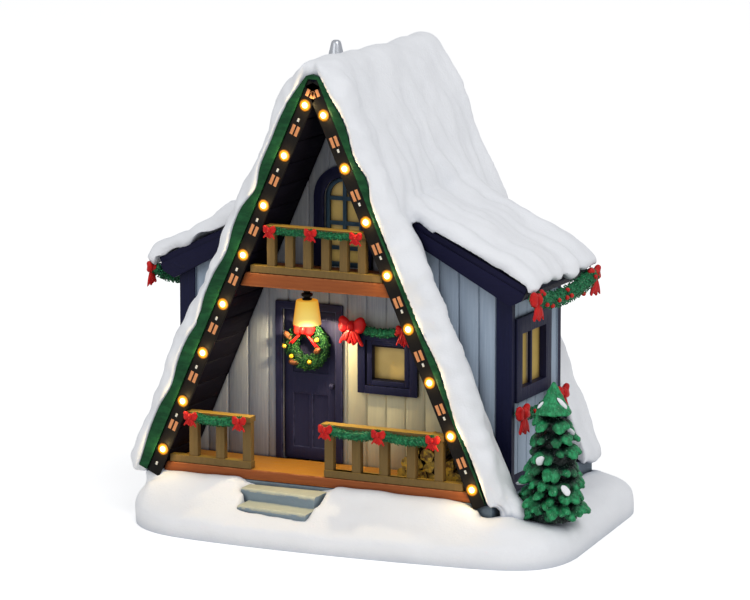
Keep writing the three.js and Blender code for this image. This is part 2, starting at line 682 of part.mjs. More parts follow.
// A slice of the snow blanket across one slope, as a ring of points at y.
function snowSlice(y, side) {
  const ring = [];
  const centre = SNOW_RIDGE_Z - RIDGE_RADIUS - ridgeDip(y);
  const squeeze = edgeRound(y);
  const ridgeBands = 4;
  for (let i = 0; i <= ridgeBands; i += 1) {
    const angle = (PITCH * i) / ridgeBands;
    const rise = (snowThickness(0, y, side) - SNOW_THICK) * 0.4;
    const r = (RIDGE_RADIUS + (rise * i) / ridgeBands) * (0.75 + 0.25 * squeeze);
    ring.push([Math.sin(angle) * r, centre + Math.cos(angle) * r]);
  }
  const on = (down, lift) => legPoint(down, lift, 1);
  const start = 3.4;
  const end = 156.4;
  const bands = 13;
  for (const down of spread(start, end, bands + 1)) {
    ring.push(on(down, SNOW_UNDER + snowThickness(down, y, side) * squeeze));
  }
  const bare = FOUNDATION_TOP + GAP;
  const footThick = snowThickness(end, y, side) * squeeze;
  const toe = Math.max(on(160, SNOW_UNDER + 0.7 * footThick)[0], FOUNDATION_HALF + 2 * GAP);
  ring.push([toe, SNOW_FOOT_Z + 1], [Math.max(toe - 1.2, FOUNDATION_HALF + 1.2 * GAP), SNOW_FOOT_Z]);
  ring.push([FOUNDATION_HALF + GAP, SNOW_FOOT_Z], [FOUNDATION_HALF + GAP, bare]);
  ring.push([halfWidth(bare, SNOW_UNDER), bare]);
  ring.push([halfWidth(ROOF_CAP_Z + GAP, SNOW_UNDER), ROOF_CAP_Z + GAP]);
  ring.push([0, ROOF_CAP_Z + GAP]);
  return ring.map(([x, z]) => new THREE.Vector3(x * side, y, z));
}

const SNOW_STATIONS = [0.3, 1, 2.4, 5, 9, 14, 19, 26, 34, 42, 50, 58, 66, 74, 80, 86, 90.5, 92.6, 93.3];

// The snow of the main roof stops clear of a wing, so far before and behind the wing's roof.
const WING_CUT_FRONT = 1;
const WING_CUT_BACK = 1.6;

function roofSnow(side) {
  const blanket = solid(loft(SNOW_STATIONS.map((y) => snowSlice(y, side)), ['x', 'z']));
  const front = WING_ROOF_FRONT - WING_CUT_FRONT - GAP;
  const back = WING_ROOF_BACK + WING_CUT_BACK + GAP;
  const wing = sideBlock(side, 2, 90, front, back, 0, WING_SNOW_TOP_Z + GAP);
  return blanket.subtract(wing).subtract(skirtBoard(side, GAP));
}

// Behind each wing the foot of the roof is filled out by a short sloping board, bare of snow.
function skirtBoard(side, grown) {
  const edge = SKIRT.map(([z, lift]) => [halfWidth(z, lift + grown), z]);
  const inner = SKIRT.map(([z]) => [halfWidth(z, ROOF_OUTSIDE - 1), z]).reverse();
  return gablePlate(outline(mirrored([...edge, ...inner], side)), SKIRT_FRONT, SKIRT_BACK + grown);
}

const SIDES = { left: -1, right: 1 };
for (const [name, side] of Object.entries(SIDES)) {
  place(`roof_${name}`, roofSlope(side), PAINT.navy);
  place(`roof_snow_${name}`, roofSnow(side), PAINT.snow);
}

// A plain stovepipe cap that stands through the snow of the left slope.
function stovepipe() {
  return turned([[0, 0], [3.8, 0], [3.4, 1.6], [1.8, 8.8], [1.3, 9.6], [0, 9.6]]);
}

// ---------------------------------------------------------------- gable trim and light strip

// Greenery along the gable: straight against the light strip, wavy against the snow.
function trimEdge(distance, side) {
  return 5 + 1.5 * Math.sin(distance * 0.16 + side) + 0.8 * Math.sin(distance * 0.37 + 2 * side);
}

function legPoint(distance, lift, side) {
  const x = distance * Math.cos(PITCH) + lift * Math.sin(PITCH);
  const z = APEX_Z - distance * Math.sin(PITCH) + lift * Math.cos(PITCH);
  return [x * side, z];
}

function gableTrim() {
  const inner = STRIP_WIDTH / 2 + GAP;
  const end = 157;
  const wave = (side) => spread(10, end, 28).map((d) => legPoint(d, trimEdge(d, side), side));
  const fold = APEX_Z + 2.8; // the trim passes over the folded end of the light strip
  const shape = outline([
    [0, 165.6], [2.4, 164.9], [4.6, 162], ...wave(1), legPoint(end, inner, 1),
    [halfWidth(fold, inner), fold], [-halfWidth(fold, inner), fold],
    legPoint(end, inner, -1), ...wave(-1).reverse(), [-4.6, 162], [-2.4, 164.9],
  ]);
  return gablePlate(shape, -1.2, -0.05);
}

// A flexible strip folded at the apex, with a small lamp every 20 mm and paired contact pads.
function lightStrip() {
  const half = STRIP_WIDTH / 2;
  const parts = [];
  for (const [name, side] of Object.entries(SIDES)) {
    const end = 157.4;
    const leg = outline([
      legPoint(-1.5, -half, side), legPoint(end, -half, side), legPoint(end, half, side),
      legPoint(-1.5, half, side),
    ]);
    parts.push(gablePlate(leg, -STRIP_THICK - 0.05, -0.05));
    for (let i = 0; i < LIGHTS_A_LEG; i += 1) {
      const [x, z] = legPoint(FIRST_LIGHT[name] + i * LIGHT_PITCH, 0, side);
      const lamp = new THREE.CylinderGeometry(1, 1.5, 0.9, 8);
      parts.push(solid(lamp.translate(x, -STRIP_THICK - 0.4, z)));
    }
  }
  return joined(parts);
}

place('gable_trim', gableTrim(), PAINT.trim);
place('light_strip', lightStrip(), PAINT.strip);

// ---------------------------------------------------------------- side wings

// The main roof, thickened by a seat, is cut away from everything that runs into it.
function clearOfRoof(body, side) {
  const lift = SNOW_UNDER;
  const zone = outline(mirrored([[0, 0], [halfWidth(0, lift), 0], [0, slopeZ(0, lift)]], side));
  return body.subtract(gablePlate(zone, -10, 120));
}

function wingWalls(side) {
  const under = (x) => wingRoofZ(x) - WING_ROOF_THICK - GAP;
  const foot = FOUNDATION_TOP + 0.1;
  const inX = 22;
  const endWall = (y0, y1) => gablePlate(outline(mirrored(
    [[inX, foot], [WING_SIDE, foot], [WING_SIDE, under(WING_SIDE)], [inX, under(inX)]], side)), y0, y1);
  const post = 5.4;
  const proud = 0.6;
  const upright = (x0, x1, y0, y1) => gablePlate(outline(mirrored(
    [[x0, foot], [x1, foot], [x1, under(x1)], [x0, under(x0)]], side)), y0, y1);
  const walls = joined([
    endWall(WING_FRONT, WING_FRONT + WALL),
    endWall(WING_BACK - WALL, WING_BACK),
    upright(WING_SIDE - WALL, WING_SIDE, WING_FRONT, WING_BACK),
    upright(WING_SIDE - post, WING_SIDE + proud, WING_FRONT - proud, WING_FRONT + 2),
    upright(WING_SIDE - post, WING_SIDE + proud, WING_BACK - 2, WING_BACK + proud),
  ]);
  const { front, back, bottom, top } = WING_WINDOW;
  const hole = sideBlock(side, 50, 80, front, back, bottom, top);
  return clearOfRoof(walls.subtract(hole), side);
}

const WING_WINDOW = { front: 29.6, back: 53, bottom: 53, top: 75 };

function wingWindowFrame(side) {
  const { front, back, bottom, top } = WING_WINDOW;
  const wide = 3.4;
  const head = 4.6;
  const lip = 1.3;
  const seat = GAP / 2;
  const muntinAt = (front + back) / 2;
  const frame = sideBlock(side, WING_SIDE, WING_SIDE + CASING_PROUD,
    front - wide, back + wide, bottom - wide, top + head);
  const lining = sideBlock(side, WING_SIDE - CASING_DEEP, WING_SIDE,
    front + seat, back - seat, bottom + seat, top - seat);
  const hole = sideBlock(side, 50, 80, front + lip, back - lip, bottom + lip, top - lip);
  const muntin = sideBlock(side, WING_SIDE - 1, WING_SIDE + 0.2,
    muntinAt - 0.7, muntinAt + 0.7, bottom + lip / 2, top - lip / 2);
  return frame.add(lining).subtract(hole).add(muntin);
}

function wingPane(side) {
  const { front, back, bottom, top } = WING_WINDOW;
  const face = WING_SIDE - PANE_BACK;
  return sideBlock(side, face - PANE_THICK, face, front + GAP, back - GAP, bottom + GAP, top - GAP);
}

// The wing roof: boards that fall outwards, with a fascia of two boards round their free edges.
function wingRoof(side) {
  const inX = 20;
  const step = 2.5; // the upper fascia board is so deep, and the lower one stands proud of it
  const proud = 0.7;
  const tip = [70.4, 87.3];
  const boards = outline(mirrored([
    [inX, wingRoofZ(inX)], [inX, wingRoofZ(inX) - WING_ROOF_THICK],
    [WING_EAVE - 0.8, wingRoofZ(WING_EAVE - 0.8) - WING_ROOF_THICK], [WING_EAVE, WING_EAVE_Z],
  ], side));
  const lower = outline(mirrored([
    [inX, wingRoofZ(inX) - step], [inX, wingRoofZ(inX) - 7.2], [66.2, 85.2], tip,
    [WING_EAVE - 0.6, wingRoofZ(WING_EAVE - 0.6) - step],
  ], side));
  const eave = outline(mirrored([
    [WING_EAVE - 2.6, wingRoofZ(WING_EAVE - 2.6)], [WING_EAVE - 4.2, 86.4], tip, [WING_EAVE, WING_EAVE_Z],
  ], side));
  const deep = 2.2;
  const front = WING_ROOF_FRONT + proud;
  const back = WING_ROOF_BACK - proud;
  return clearOfRoof(joined([
    gablePlate(boards, front, back),
    gablePlate(eave, front, back),
    gablePlate(lower, WING_ROOF_FRONT, WING_ROOF_FRONT + deep),
    gablePlate(lower, WING_ROOF_BACK - deep, WING_ROOF_BACK),
  ]), side);
}

// The left wing's snow dips before its eave, which ends more bluntly than the right one.
const WING_SWELLS = { left: [[66, -1, 7], [50, 0.6, 6]], right: [] };
const EAVE_BLUNT = { left: 1.5, right: 0 };

// A slice of the wing's snow. Its front, rear and eave edges wander in and out.
function wingSnowSlice(y, side) {
  const mid = (WING_ROOF_FRONT + WING_ROOF_BACK) / 2;
  const reach = (WING_ROOF_BACK - WING_ROOF_FRONT) / 2 + 1.5 - Math.abs(y - mid);
  const squeeze = Math.sqrt(THREE.MathUtils.clamp(1 - (1 - Math.min(reach, 4) / 4) ** 2, 0.1, 1));
  const wave = 0.6 * Math.sin(y * 0.4 + side) + 0.3 * Math.sin(y * 0.9);
  const swells = WING_SWELLS[sideName(side)];
  const thick = (x) => (5.9 + wave + 0.7 * Math.cos((x - 47) * 0.32) + swellAt(swells, x)) * squeeze;
  const base = (x) => wingRoofZ(x) + GAP;
  const droop = 1.1 * Math.cos((y - 37) * 0.19); // the eave edge hangs in shallow scallops
  const eaveOut = 0.6 * Math.cos((y - 54) * 0.19);
  const ring = [[20, base(20)], [20, WING_SNOW_TOP_Z]];
  ring.push([THREE.MathUtils.lerp(24, 28.6, squeeze), WING_SNOW_TOP_Z]);
  for (const x of spread(33, 71, 8)) ring.push([x, base(x) + thick(x)]);
  const blunt = EAVE_BLUNT[sideName(side)];
  ring.push([74.2 + eaveOut + 0.3 * blunt, base(74.4) + (4 + blunt) * squeeze]);
  ring.push([75.2 + eaveOut, base(74.4) + 2 + droop]);
  ring.push([74.6, base(74) + 0.4 + droop], [WING_EAVE + GAP, base(WING_EAVE) - 0.2 + droop]);
  ring.push([WING_EAVE + GAP, base(WING_EAVE + GAP) + 1.3]);
  ring.push([WING_EAVE, base(WING_EAVE) + 0.1]);
  const edgeWave = (x) => 0.5 * Math.sin(x * 0.42 + side) - 0.3;
  const shift = (x) => edgeWave(x) * Math.sign(y - mid) * (reach < 4 ? 1 : 0);
  return ring.map(([x, z]) => new THREE.Vector3(x * side, y + shift(x), z));
}

function wingSnow(side) {
  const front = WING_ROOF_FRONT - 0.6;
  const back = WING_ROOF_BACK + 1;
  const stations = [
    front, front + 0.6, front + 2.4, ...spread(front + 7, back - 7, 8), back - 2.4, back - 0.6, back,
  ];
  return clearOfRoof(solid(loft(stations.map((y) => wingSnowSlice(y, side)), ['x', 'z'])), side);
}

// The swag under the eave and the one under the window, hung along the wing's long side.
const WING_GARLANDS = {
  left_eave: { x: 75, ends: [[21.8, 88.2], [72.6, 88.8]], sag: 7.2, radius: 2.9, bow: [7.5, 12, 2.6] },
  right_eave: { x: 75.2, ends: [[21.6, 88.2], [72.6, 88.8]], sag: 4.2, radius: 2.9, bow: [9, 12, 3.4] },
  sill: { x: 68.4, ends: [[23.6, 46.8], [58.6, 47.6]], sag: 2.6, radius: 2.1, bow: [9, 12, 3.2] },
};

function wingGarland(side, swag) {
  const anchors = swag.ends.map(([y, z]) => new THREE.Vector3(swag.x * side, y, z));
  return garland(anchors, swag, 90);
}

for (const [name, side] of Object.entries(SIDES)) {
  place(`wing_${name}_walls`, wingWalls(side), PAINT.wall);
  place(`wing_${name}_window_frame`, wingWindowFrame(side), PAINT.navy);
  place(`wing_${name}_window_pane`, wingPane(side), PAINT.pane);
  place(`wing_${name}_roof`, wingRoof(side), PAINT.navy);
  place(`wing_${name}_snow`, wingSnow(side), PAINT.snow);
  place(`wing_${name}_eave_garland`, wingGarland(side, WING_GARLANDS[`${name}_eave`]), PAINT.garland);
  place(`wing_${name}_sill_garland`, wingGarland(side, WING_GARLANDS.sill), PAINT.garland);
}

place('stovepipe_cap', stovepipeOnSlope(), PAINT.steel);

// The pipe stands upright and its foot is bedded in the snow of the left slope.
function stovepipeOnSlope() {
  const x = -13.2;
  const y = 45;
  const cap = stovepipe().translate([x, y, 162]);
  const bed = solid(loft(SNOW_STATIONS.map((s) => snowSlice(s, -1)), ['x', 'z']));
  return cap.subtract(bed.translate([-0.25, 0, 0.25])).subtract(bed);
}

// ---------------------------------------------------------------- tree

const TREE = { x: 85.4, y: 14.6, foot: 12.6, height: 48.6, reach: 14.8 };

// A cast fir: tiers of plump drooping boughs, each tier turned against the one below, and a cone on top.
function tree() {
  const tiers = 7;
  const sides = 40;
  const boughs = 8;
  const rings = [];
  const ring = (radius, z, lobe, phase, droop) => {
    const points = [];
    for (let k = 0; k < sides; k += 1) {
      const angle = (2 * Math.PI * k) / sides;
      const bough = Math.abs(Math.cos((boughs / 2) * angle + phase));
      const r = radius * (1 - lobe + lobe * bough);
      points.push(new THREE.Vector3(r * Math.cos(angle), r * Math.sin(angle), z - droop * bough));
    }
    return points;
  };
  rings.push(ring(5, 0, 0, 0, 0));
  for (let t = 0; t < tiers; t += 1) {
    const low = t / tiers;
    const wide = TREE.reach * (1 - low) ** 0.75;
    const z = 1 + (TREE.height - 9) * low;
    const phase = t * 1.9;
    rings.push(ring(wide * 0.86, z + 0.9, 0.3, phase, 0.6));
    rings.push(ring(wide, z + 2.6, 0.3, phase, 0.6));
    rings.push(ring(wide * 0.9, z + 4.3, 0.26, phase, 0.4));
    rings.push(ring(wide * 0.6, z + 5.6, 0.1, phase, 0));
  }
  rings.push(ring(2.6, TREE.height - 5, 0.1, 0, 0), ring(0.5, TREE.height, 0, 0, 0));
  return solid(loft(rings, ['x', 'y'])).translate([TREE.x, TREE.y, TREE.foot]);
}

place('fir_tree', tree(), PAINT.tree);

export default house;
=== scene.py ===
"""The looks of a lit A-frame chalet for a model winter village.

Laid out as a Blender add-on: every group of pieces is an operator, and the sizes, colours and lights
that someone would change are properties. Sizes named with _MM and the numbers given to point() are in
millimetres, with y measured back from the plane of the front gable; every mesh is made in metres.
"""

import math
import random

import bmesh
import bpy
from bpy.props import FloatProperty, FloatVectorProperty, IntProperty, PointerProperty
from mathutils import Matrix, Vector, noise

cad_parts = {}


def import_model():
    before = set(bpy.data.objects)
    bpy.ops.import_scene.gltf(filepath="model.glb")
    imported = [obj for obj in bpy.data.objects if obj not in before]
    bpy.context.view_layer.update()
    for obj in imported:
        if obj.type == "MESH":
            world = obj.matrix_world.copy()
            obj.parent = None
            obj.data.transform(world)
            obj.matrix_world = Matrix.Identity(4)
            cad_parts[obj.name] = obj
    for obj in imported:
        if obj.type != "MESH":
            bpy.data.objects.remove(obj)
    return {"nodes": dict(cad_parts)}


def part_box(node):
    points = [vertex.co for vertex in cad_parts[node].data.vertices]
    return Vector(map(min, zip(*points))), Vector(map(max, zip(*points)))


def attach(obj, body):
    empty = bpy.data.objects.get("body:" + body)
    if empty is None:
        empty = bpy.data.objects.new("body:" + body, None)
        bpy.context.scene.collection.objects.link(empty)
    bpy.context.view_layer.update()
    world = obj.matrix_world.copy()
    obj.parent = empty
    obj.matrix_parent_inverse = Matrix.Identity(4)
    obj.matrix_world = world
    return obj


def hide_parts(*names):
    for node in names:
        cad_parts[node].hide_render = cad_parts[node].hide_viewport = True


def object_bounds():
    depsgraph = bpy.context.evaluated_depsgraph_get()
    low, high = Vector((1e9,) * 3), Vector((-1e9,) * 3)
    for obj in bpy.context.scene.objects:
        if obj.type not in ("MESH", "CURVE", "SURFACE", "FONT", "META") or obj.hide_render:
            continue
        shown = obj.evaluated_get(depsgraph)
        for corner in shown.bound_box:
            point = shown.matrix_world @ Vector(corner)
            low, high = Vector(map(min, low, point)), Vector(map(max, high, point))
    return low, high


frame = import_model()
CAD_BOX = [list(corner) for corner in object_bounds()]

bl_info = {
    "name": "Lit A-frame Chalet",
    "version": (1, 0, 0),
    "blender": (4, 5, 0),
    "location": "View3D > Sidebar > Chalet",
    "description": "Snow, paint, greenery and lights of a model A-frame chalet",
    "category": "Object",
}

# ---------------------------------------------------------------- sizes of the casting

MM = 0.001
SIDES = {"left": -1, "right": 1}
GABLE_Y_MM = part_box("roof_left")[0].y / MM
PITCH = math.radians(65.92)
APEX_Z_MM = 161.0
DOWN = Vector((math.cos(PITCH), 0, -math.sin(PITCH)))
OUT = Vector((math.sin(PITCH), 0, math.cos(PITCH)))

LIGHT_PITCH_MM = 20.0
LIGHTS_A_LEG = 8
FIRST_LIGHT_MM = {"left": 7.1, "right": 10.5}
LAMP_RADIUS_MM = 1.15
HALO_RADIUS_MM = 2.3

WALL_FACE_MM = 24.0
WING_FACE_MM = 65.0
BOARD_MM = 7.7


def point(x, y, z):
    """A place in millimetres, y back from the front gable, as a place in the part's frame."""
    return Vector((x, y + GABLE_Y_MM, z)) * MM


def on_leg(distance, lift, side, y=0.0):
    """A place a distance down one leg of the gable and a lift square to it."""
    place = DOWN * distance + OUT * lift
    return point(place.x * side, y, APEX_Z_MM + place.z)


def display(red, green, blue):
    """A colour given as it looks on a screen, from 0 to 255, as the linear colour Blender uses."""
    def linear(value):
        share = value / 255
        return share / 12.92 if share <= 0.04045 else ((share + 0.055) / 1.055) ** 2.4
    return (linear(red), linear(green), linear(blue))


# ---------------------------------------------------------------- selecting and finishing

def deselect():
    if bpy.context.object and bpy.context.object.mode != "OBJECT":
        bpy.ops.object.mode_set(mode="OBJECT")
    bpy.ops.object.select_all(action="DESELECT")


def activate(piece):
    deselect()
    piece.select_set(True)
    bpy.context.view_layer.objects.active = piece


def edit(piece, everything=True):
    activate(piece)
    bpy.ops.object.mode_set(mode="EDIT")
    bpy.ops.mesh.select_all(action="SELECT" if everything else "DESELECT")


def leave_edit():
    bpy.ops.object.mode_set(mode="OBJECT")


def shape(operator, name=None, **settings):
    """The object that one of Blender's operators adds, under its own name."""
    deselect()
    operator(**settings)
    piece = bpy.context.object
    piece.name = name or piece.name
    return piece


def moved(piece, place):
    """A piece with its mesh moved by a place or placed by a matrix."""
    matrix = place if isinstance(place, Matrix) else Matrix.Translation(place)
    piece.data.transform(matrix)
    return piece


def face_outward(piece):
    """Turns every face of a closed piece outward."""
    edit(piece)
    bpy.ops.mesh.normals_make_consistent(inside=False)
    leave_edit()
    return piece


def choose_faces(piece, test):
    """In edit mode: selects only the faces whose normal and centre pass a test."""
    mesh = bmesh.from_edit_mesh(piece.data)
    bpy.context.tool_settings.mesh_select_mode = (False, False, True)
    for face in mesh.faces:
        face.select_set(test(face.normal, face.calc_center_median()))
    mesh.select_flush_mode()
    bmesh.update_edit_mesh(piece.data)
    return any(face.select for face in mesh.faces)


def modify(piece, kind, **settings):
    """Adds a modifier with these settings and applies it."""
    activate(piece)
    added = piece.modifiers.new(kind.title(), kind)
    for name, value in settings.items():
        setattr(added, name, value)
    bpy.ops.object.modifier_apply(modifier=added.name)
    return piece


def settle(piece):
    """Puts a piece's place, turn and scale into its mesh."""
    activate(piece)
    bpy.ops.object.transform_apply(location=True, rotation=True, scale=True)
    return piece


def join(pieces, name):
    deselect()
    for piece in pieces:
        piece.select_set(True)
    bpy.context.view_layer.objects.active = pieces[0]
    if len(pieces) > 1:
        bpy.ops.object.join()
    pieces[0].name = pieces[0].data.name = name
    return pieces[0]


def smooth(piece, degrees=35):
    activate(piece)
    bpy.ops.object.shade_smooth_by_angle(angle=math.radians(degrees))
    return piece


def hold_inside(piece):
    """Draws in the points of a piece that reach past the box of the plain solids."""
    low, high = CAD_BOX
    for vertex in piece.data.vertices:
        vertex.co = [min(h, max(l, c)) for l, c, h in zip(low, vertex.co, high)]
    piece.data.update()


def dress(piece, material, slot, *nodes):
    """Paints a finished piece, lets it ride with the house and stand for its plain solids."""
    hold_inside(piece)
    piece.data.materials.clear()
    piece.data.materials.append(material)
    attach(piece, "root")
    if nodes:
        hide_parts(*nodes)
    return piece


# ---------------------------------------------------------------- shaping

def solid_copy(node, name, whole=True):
    """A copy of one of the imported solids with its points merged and, if whole, its flat faces too."""
    source = frame["nodes"][node]
    piece = bpy.data.objects.new(name, source.data.copy())
    bpy.context.scene.collection.objects.link(piece)
    piece.data.name = name
    edit(piece)
    bpy.ops.mesh.remove_doubles(threshold=1e-6)
    if whole:
        bpy.ops.mesh.dissolve_limited(angle_limit=math.radians(1))
    leave_edit()
    return piece


def mark_edges(piece, marked):
    """Stores which faces are worn edges, for the paint to read."""
    layer = piece.data.attributes.get("edge")
    if layer is None:
        layer = piece.data.attributes.new("edge", "FLOAT", "CORNER")
    for face in piece.data.polygons:
        for corner in face.loop_indices:
            layer.data[corner].value = 1.0 if face.index in marked else 0.0


def store(piece, name, values):
    """Stores a value for each point of a piece, for the paint to read."""
    layer = piece.data.attributes.new(name, "FLOAT", "POINT")
    layer.data.foreach_set("value", values)


# Edges sharper than this are rounded, and a face up to this many times as wide as its rounding is worn.
SHARP_DEGREES, EDGE_SLACK = 28, 1.5


def is_narrow(mesh, face, width_mm):
    """Whether a face is about as narrow as a rounded edge of this width."""
    longest = max((mesh.vertices[a].co - mesh.vertices[b].co).length for a, b in face.edge_keys)
    return face.area <= EDGE_SLACK * width_mm * MM * longest


def soften(piece, width_mm, segments=2):
    """Rounds the sharp edges of a casting and marks them as worn."""
    edit(piece, everything=False)
    bpy.context.tool_settings.mesh_select_mode = (False, True, False)
    bpy.ops.mesh.edges_select_sharp(sharpness=math.radians(SHARP_DEGREES))
    bpy.ops.mesh.bevel(offset=width_mm * MM, segments=segments, affect="EDGES", clamp_overlap=True)
    bpy.context.tool_settings.mesh_select_mode = (False, False, True)
    leave_edit()
    mesh = piece.data
    mark_edges(piece, {f.index for f in mesh.polygons if f.select and is_narrow(mesh, f, width_mm)})
    return smooth(piece)


def sculpt(piece, push):
    """Moves each point along its own normal by a distance in millimetres that push gives."""
    steps = [(v, v.normal * push(v.co / MM, v.normal) * MM) for v in piece.data.vertices]
    for vertex, step in steps:
        vertex.co += step
    piece.data.update()
    return piece


def cut_groove(piece, face_normal, across, at_mm, width_mm, depth_mm, near):
    """A V groove between two boards: three cuts over the faces that look one way, and the middle
    cut pushed in. across is the direction from board to board."""
    def wanted(normal, centre):
        return normal.dot(face_normal) > 0.99 and (near is None or near(centre / MM))
    for offset in (-width_mm / 2, width_mm / 2, 0):
        if not choose_faces(piece, wanted):
            return
        place = across * (at_mm + offset) * MM
        bpy.ops.mesh.bisect(plane_co=place, plane_no=across)
    mesh = bmesh.from_edit_mesh(piece.data)
    for vertex in mesh.verts:
        if vertex.select and abs(vertex.co.dot(across) / MM - at_mm) < 0.02:
            vertex.co -= face_normal * depth_mm * MM
    bmesh.update_edit_mesh(piece.data)


def lathe(profile_mm, name, steps, foot):
    """A closed profile of radius and height, spun round the upright axis over its foot."""
    mesh = bpy.data.meshes.new(name)
    edges = [(i, i + 1) for i in range(len(profile_mm) - 1)]
    mesh.from_pydata([Vector((r, 0, z)) * MM for r, z in profile_mm], edges, [])
    piece = bpy.data.objects.new(name, mesh)
    bpy.context.scene.collection.objects.link(piece)
    edit(piece)
    bpy.ops.mesh.spin(steps=steps, angle=math.tau, center=(0, 0, 0), axis=(0, 0, 1))
    bpy.ops.mesh.select_all(action="SELECT")
    bpy.ops.mesh.remove_doubles(threshold=1e-6)
    return moved(face_outward(piece), foot)


def box(low, high, name, bevel_mm=0.0):
    """A block between two places in millimetres, its edges rounded when a rounding width is given."""
    low, high = point(*low), point(*high)
    piece = shape(bpy.ops.mesh.primitive_cube_add, name, size=1, location=(low + high) / 2)
    piece.scale = high - low
    settle(piece)
    return soften(piece, bevel_mm) if bevel_mm else piece


def scatter(model, places, name):
    """One mesh of many copies of a small model, each with its own turn and size. The model goes."""
    points = [v.co.copy() for v in model.data.vertices]
    faces = [tuple(face.vertices) for face in model.data.polygons]
    all_points, all_faces = [], []
    for place in places:
        start = len(all_points)
        all_points.extend(place @ p for p in points)
        all_faces.extend(tuple(start + i for i in face) for face in faces)
    mesh = bpy.data.meshes.new(name)
    mesh.from_pydata(all_points, [], all_faces)
    mesh.update()
    piece = bpy.data.objects.new(name, mesh)
    bpy.context.scene.collection.objects.link(piece)
    bpy.data.objects.remove(model)
    return piece


def turned_to(direction, roll=0.0):
    """The turn that lays an upright model along a direction."""
    return direction.to_track_quat("Z", "Y").to_matrix().to_4x4() @ Matrix.Rotation(roll, 4, "Z")


def sized(place, turn, size):
    """The matrix that puts a small model at a place with a turn and a size."""
    return Matrix.Translation(place) @ turn @ Matrix.Diagonal((size.x, size.y, size.z, 1))


# ---------------------------------------------------------------- shader nodes

def add(tree, kind, sockets=None, **settings):
    """Adds a shader node, sets it up and wires or fills its sockets."""
    made = tree.nodes.new(kind)
    for name, value in settings.items():
        setattr(made, name, value)
    for name, value in (sockets or {}).items():
        if isinstance(value, bpy.types.NodeSocket):
            tree.links.new(value, made.inputs[name])
        else:
            made.inputs[name].default_value = value
    return made


def mix(tree, share, first, second, blend="MIX"):
    """Two colours laid over each other."""
    made = add(tree, "ShaderNodeMix", data_type="RGBA", blend_type=blend)
    for index, value in ((0, share), (6, first), (7, second)):
        if isinstance(value, bpy.types.NodeSocket):
            tree.links.new(value, made.inputs[index])
        else:
            made.inputs[index].default_value = value if index == 0 else (*value[:3], 1)
    return made.outputs[2]


def maths(tree, operation, first, second, clamp=False):
    sockets = {0: first, 1: second}
    return add(tree, "ShaderNodeMath", sockets, operation=operation, use_clamp=clamp).outputs[0]


def cloud(tree, where, scale, detail=2.0, roughness=0.5):
    """A soft noise over a surface, from 0 to 1."""
    sockets = {"Vector": where, "Scale": scale, "Detail": detail, "Roughness": roughness}
    return add(tree, "ShaderNodeTexNoise", sockets).outputs["Fac"]


def spread(tree, value, start, end, first=0.0, last=1.0):
    """A value spread over a range: first at start, last at end, and level beyond both."""
    sockets = {"Value": value, "From Min": start, "From Max": end, "To Min": first, "To Max": last}
    return add(tree, "ShaderNodeMapRange", sockets).outputs[0]


def stored(tree, name):
    """A value that the mesh stores, such as its worn edges."""
    return add(tree, "ShaderNodeAttribute", attribute_name=name).outputs["Fac"]


def feed(tree, shader, **sources):
    """Wires values to a shader's sockets, named with _ for a space."""
    for socket, source in sources.items():
        tree.links.new(source, shader.inputs[socket.replace("_", " ")])


def new_group(name, output, **inputs):
    """A shader node group with named inputs and one value as its output."""
    tree = bpy.data.node_groups.new(name, "ShaderNodeTree")
    for title, value in inputs.items():
        kind = "NodeSocketFloat" if isinstance(value, float) else "NodeSocketVector"
        socket = tree.interface.new_socket(title, in_out="INPUT", socket_type=kind)
        if value is not None:
            socket.default_value = value
    tree.interface.new_socket(output, in_out="OUTPUT", socket_type="NodeSocketFloat")
    given = tree.nodes.new("NodeGroupInput").outputs
    return tree, given, tree.nodes.new("NodeGroupOutput").inputs[output]


def stretched(tree, given):
    """The place on the surface, stretched along each axis."""
    sockets = {0: given["Vector"], 1: given["Stretch"]}
    return add(tree, "ShaderNodeVectorMath", sockets, operation="MULTIPLY").outputs[0]


def strokes_group():
    """Strokes of a half-dry brush: a stretched noise, hardened to a mask."""
    tree, given, mask = new_group("Brush strokes", "Mask", Vector=None, Stretch=(1, 1, 1), Low=0.45,
                                  High=0.62)
    marks = cloud(tree, stretched(tree, given), 1.0, 5.0, 0.62)
    tree.links.new(spread(tree, marks, given["Low"], given["High"]), mask)
    return tree


def wash_and_shade_group():
    """Darker colour in the recesses, where ambient occlusion finds them: painted shade, together with the
    dark wash of the casting.
    """
    tree, given, mask = new_group("Recess wash", "Mask", Reach=0.002, Hold=0.7)
    # Ambient occlusion marks the recesses, where the darker colour is painted in as shade.
    hollow = add(tree, "ShaderNodeAmbientOcclusion", {"Distance": given["Reach"]}, samples=6)
    tree.links.new(spread(tree, hollow.outputs["AO"], 0.25, 0.85, given["Hold"], 0.0), mask)
    return tree


def wear_group():
    """Edges where a lighter coat was dragged over the casting, broken up by a noise."""
    tree, given, mask = new_group("Dragged edges", "Mask", Edge=0.0, Vector=None, Amount=0.6)
    marks = cloud(tree, given["Vector"], 420.0, 3.0)
    broken = spread(tree, marks, 0.35, 0.6, 0.0, given["Amount"])
    tree.links.new(maths(tree, "MULTIPLY", broken, given["Edge"]), mask)
    return tree


def grain_group():
    """The fine unevenness of cast and painted resin, as a height."""
    tree, given, height = new_group("Casting grain", "Height", Vector=None, Stretch=(1, 1, 1), Fine=0.5)
    coarse = cloud(tree, stretched(tree, given), 1.0, 3.0)
    fine = cloud(tree, given["Vector"], 1400.0)
    tree.links.new(maths(tree, "ADD", coarse, maths(tree, "MULTIPLY", fine, given["Fine"])), height)
    return tree


GROUPS = {"strokes": strokes_group, "wash": wash_and_shade_group, "wear": wear_group, "grain": grain_group}


def effect(tree, name, **sockets):
    """Places one of the shared effects in a material and gives what it puts out."""
    title = "Chalet " + name
    group = bpy.data.node_groups.get(title)
    if group is None:
        group = GROUPS[name]()
        group.name = title
    return add(tree, "ShaderNodeGroup", sockets, node_tree=group).outputs[0]


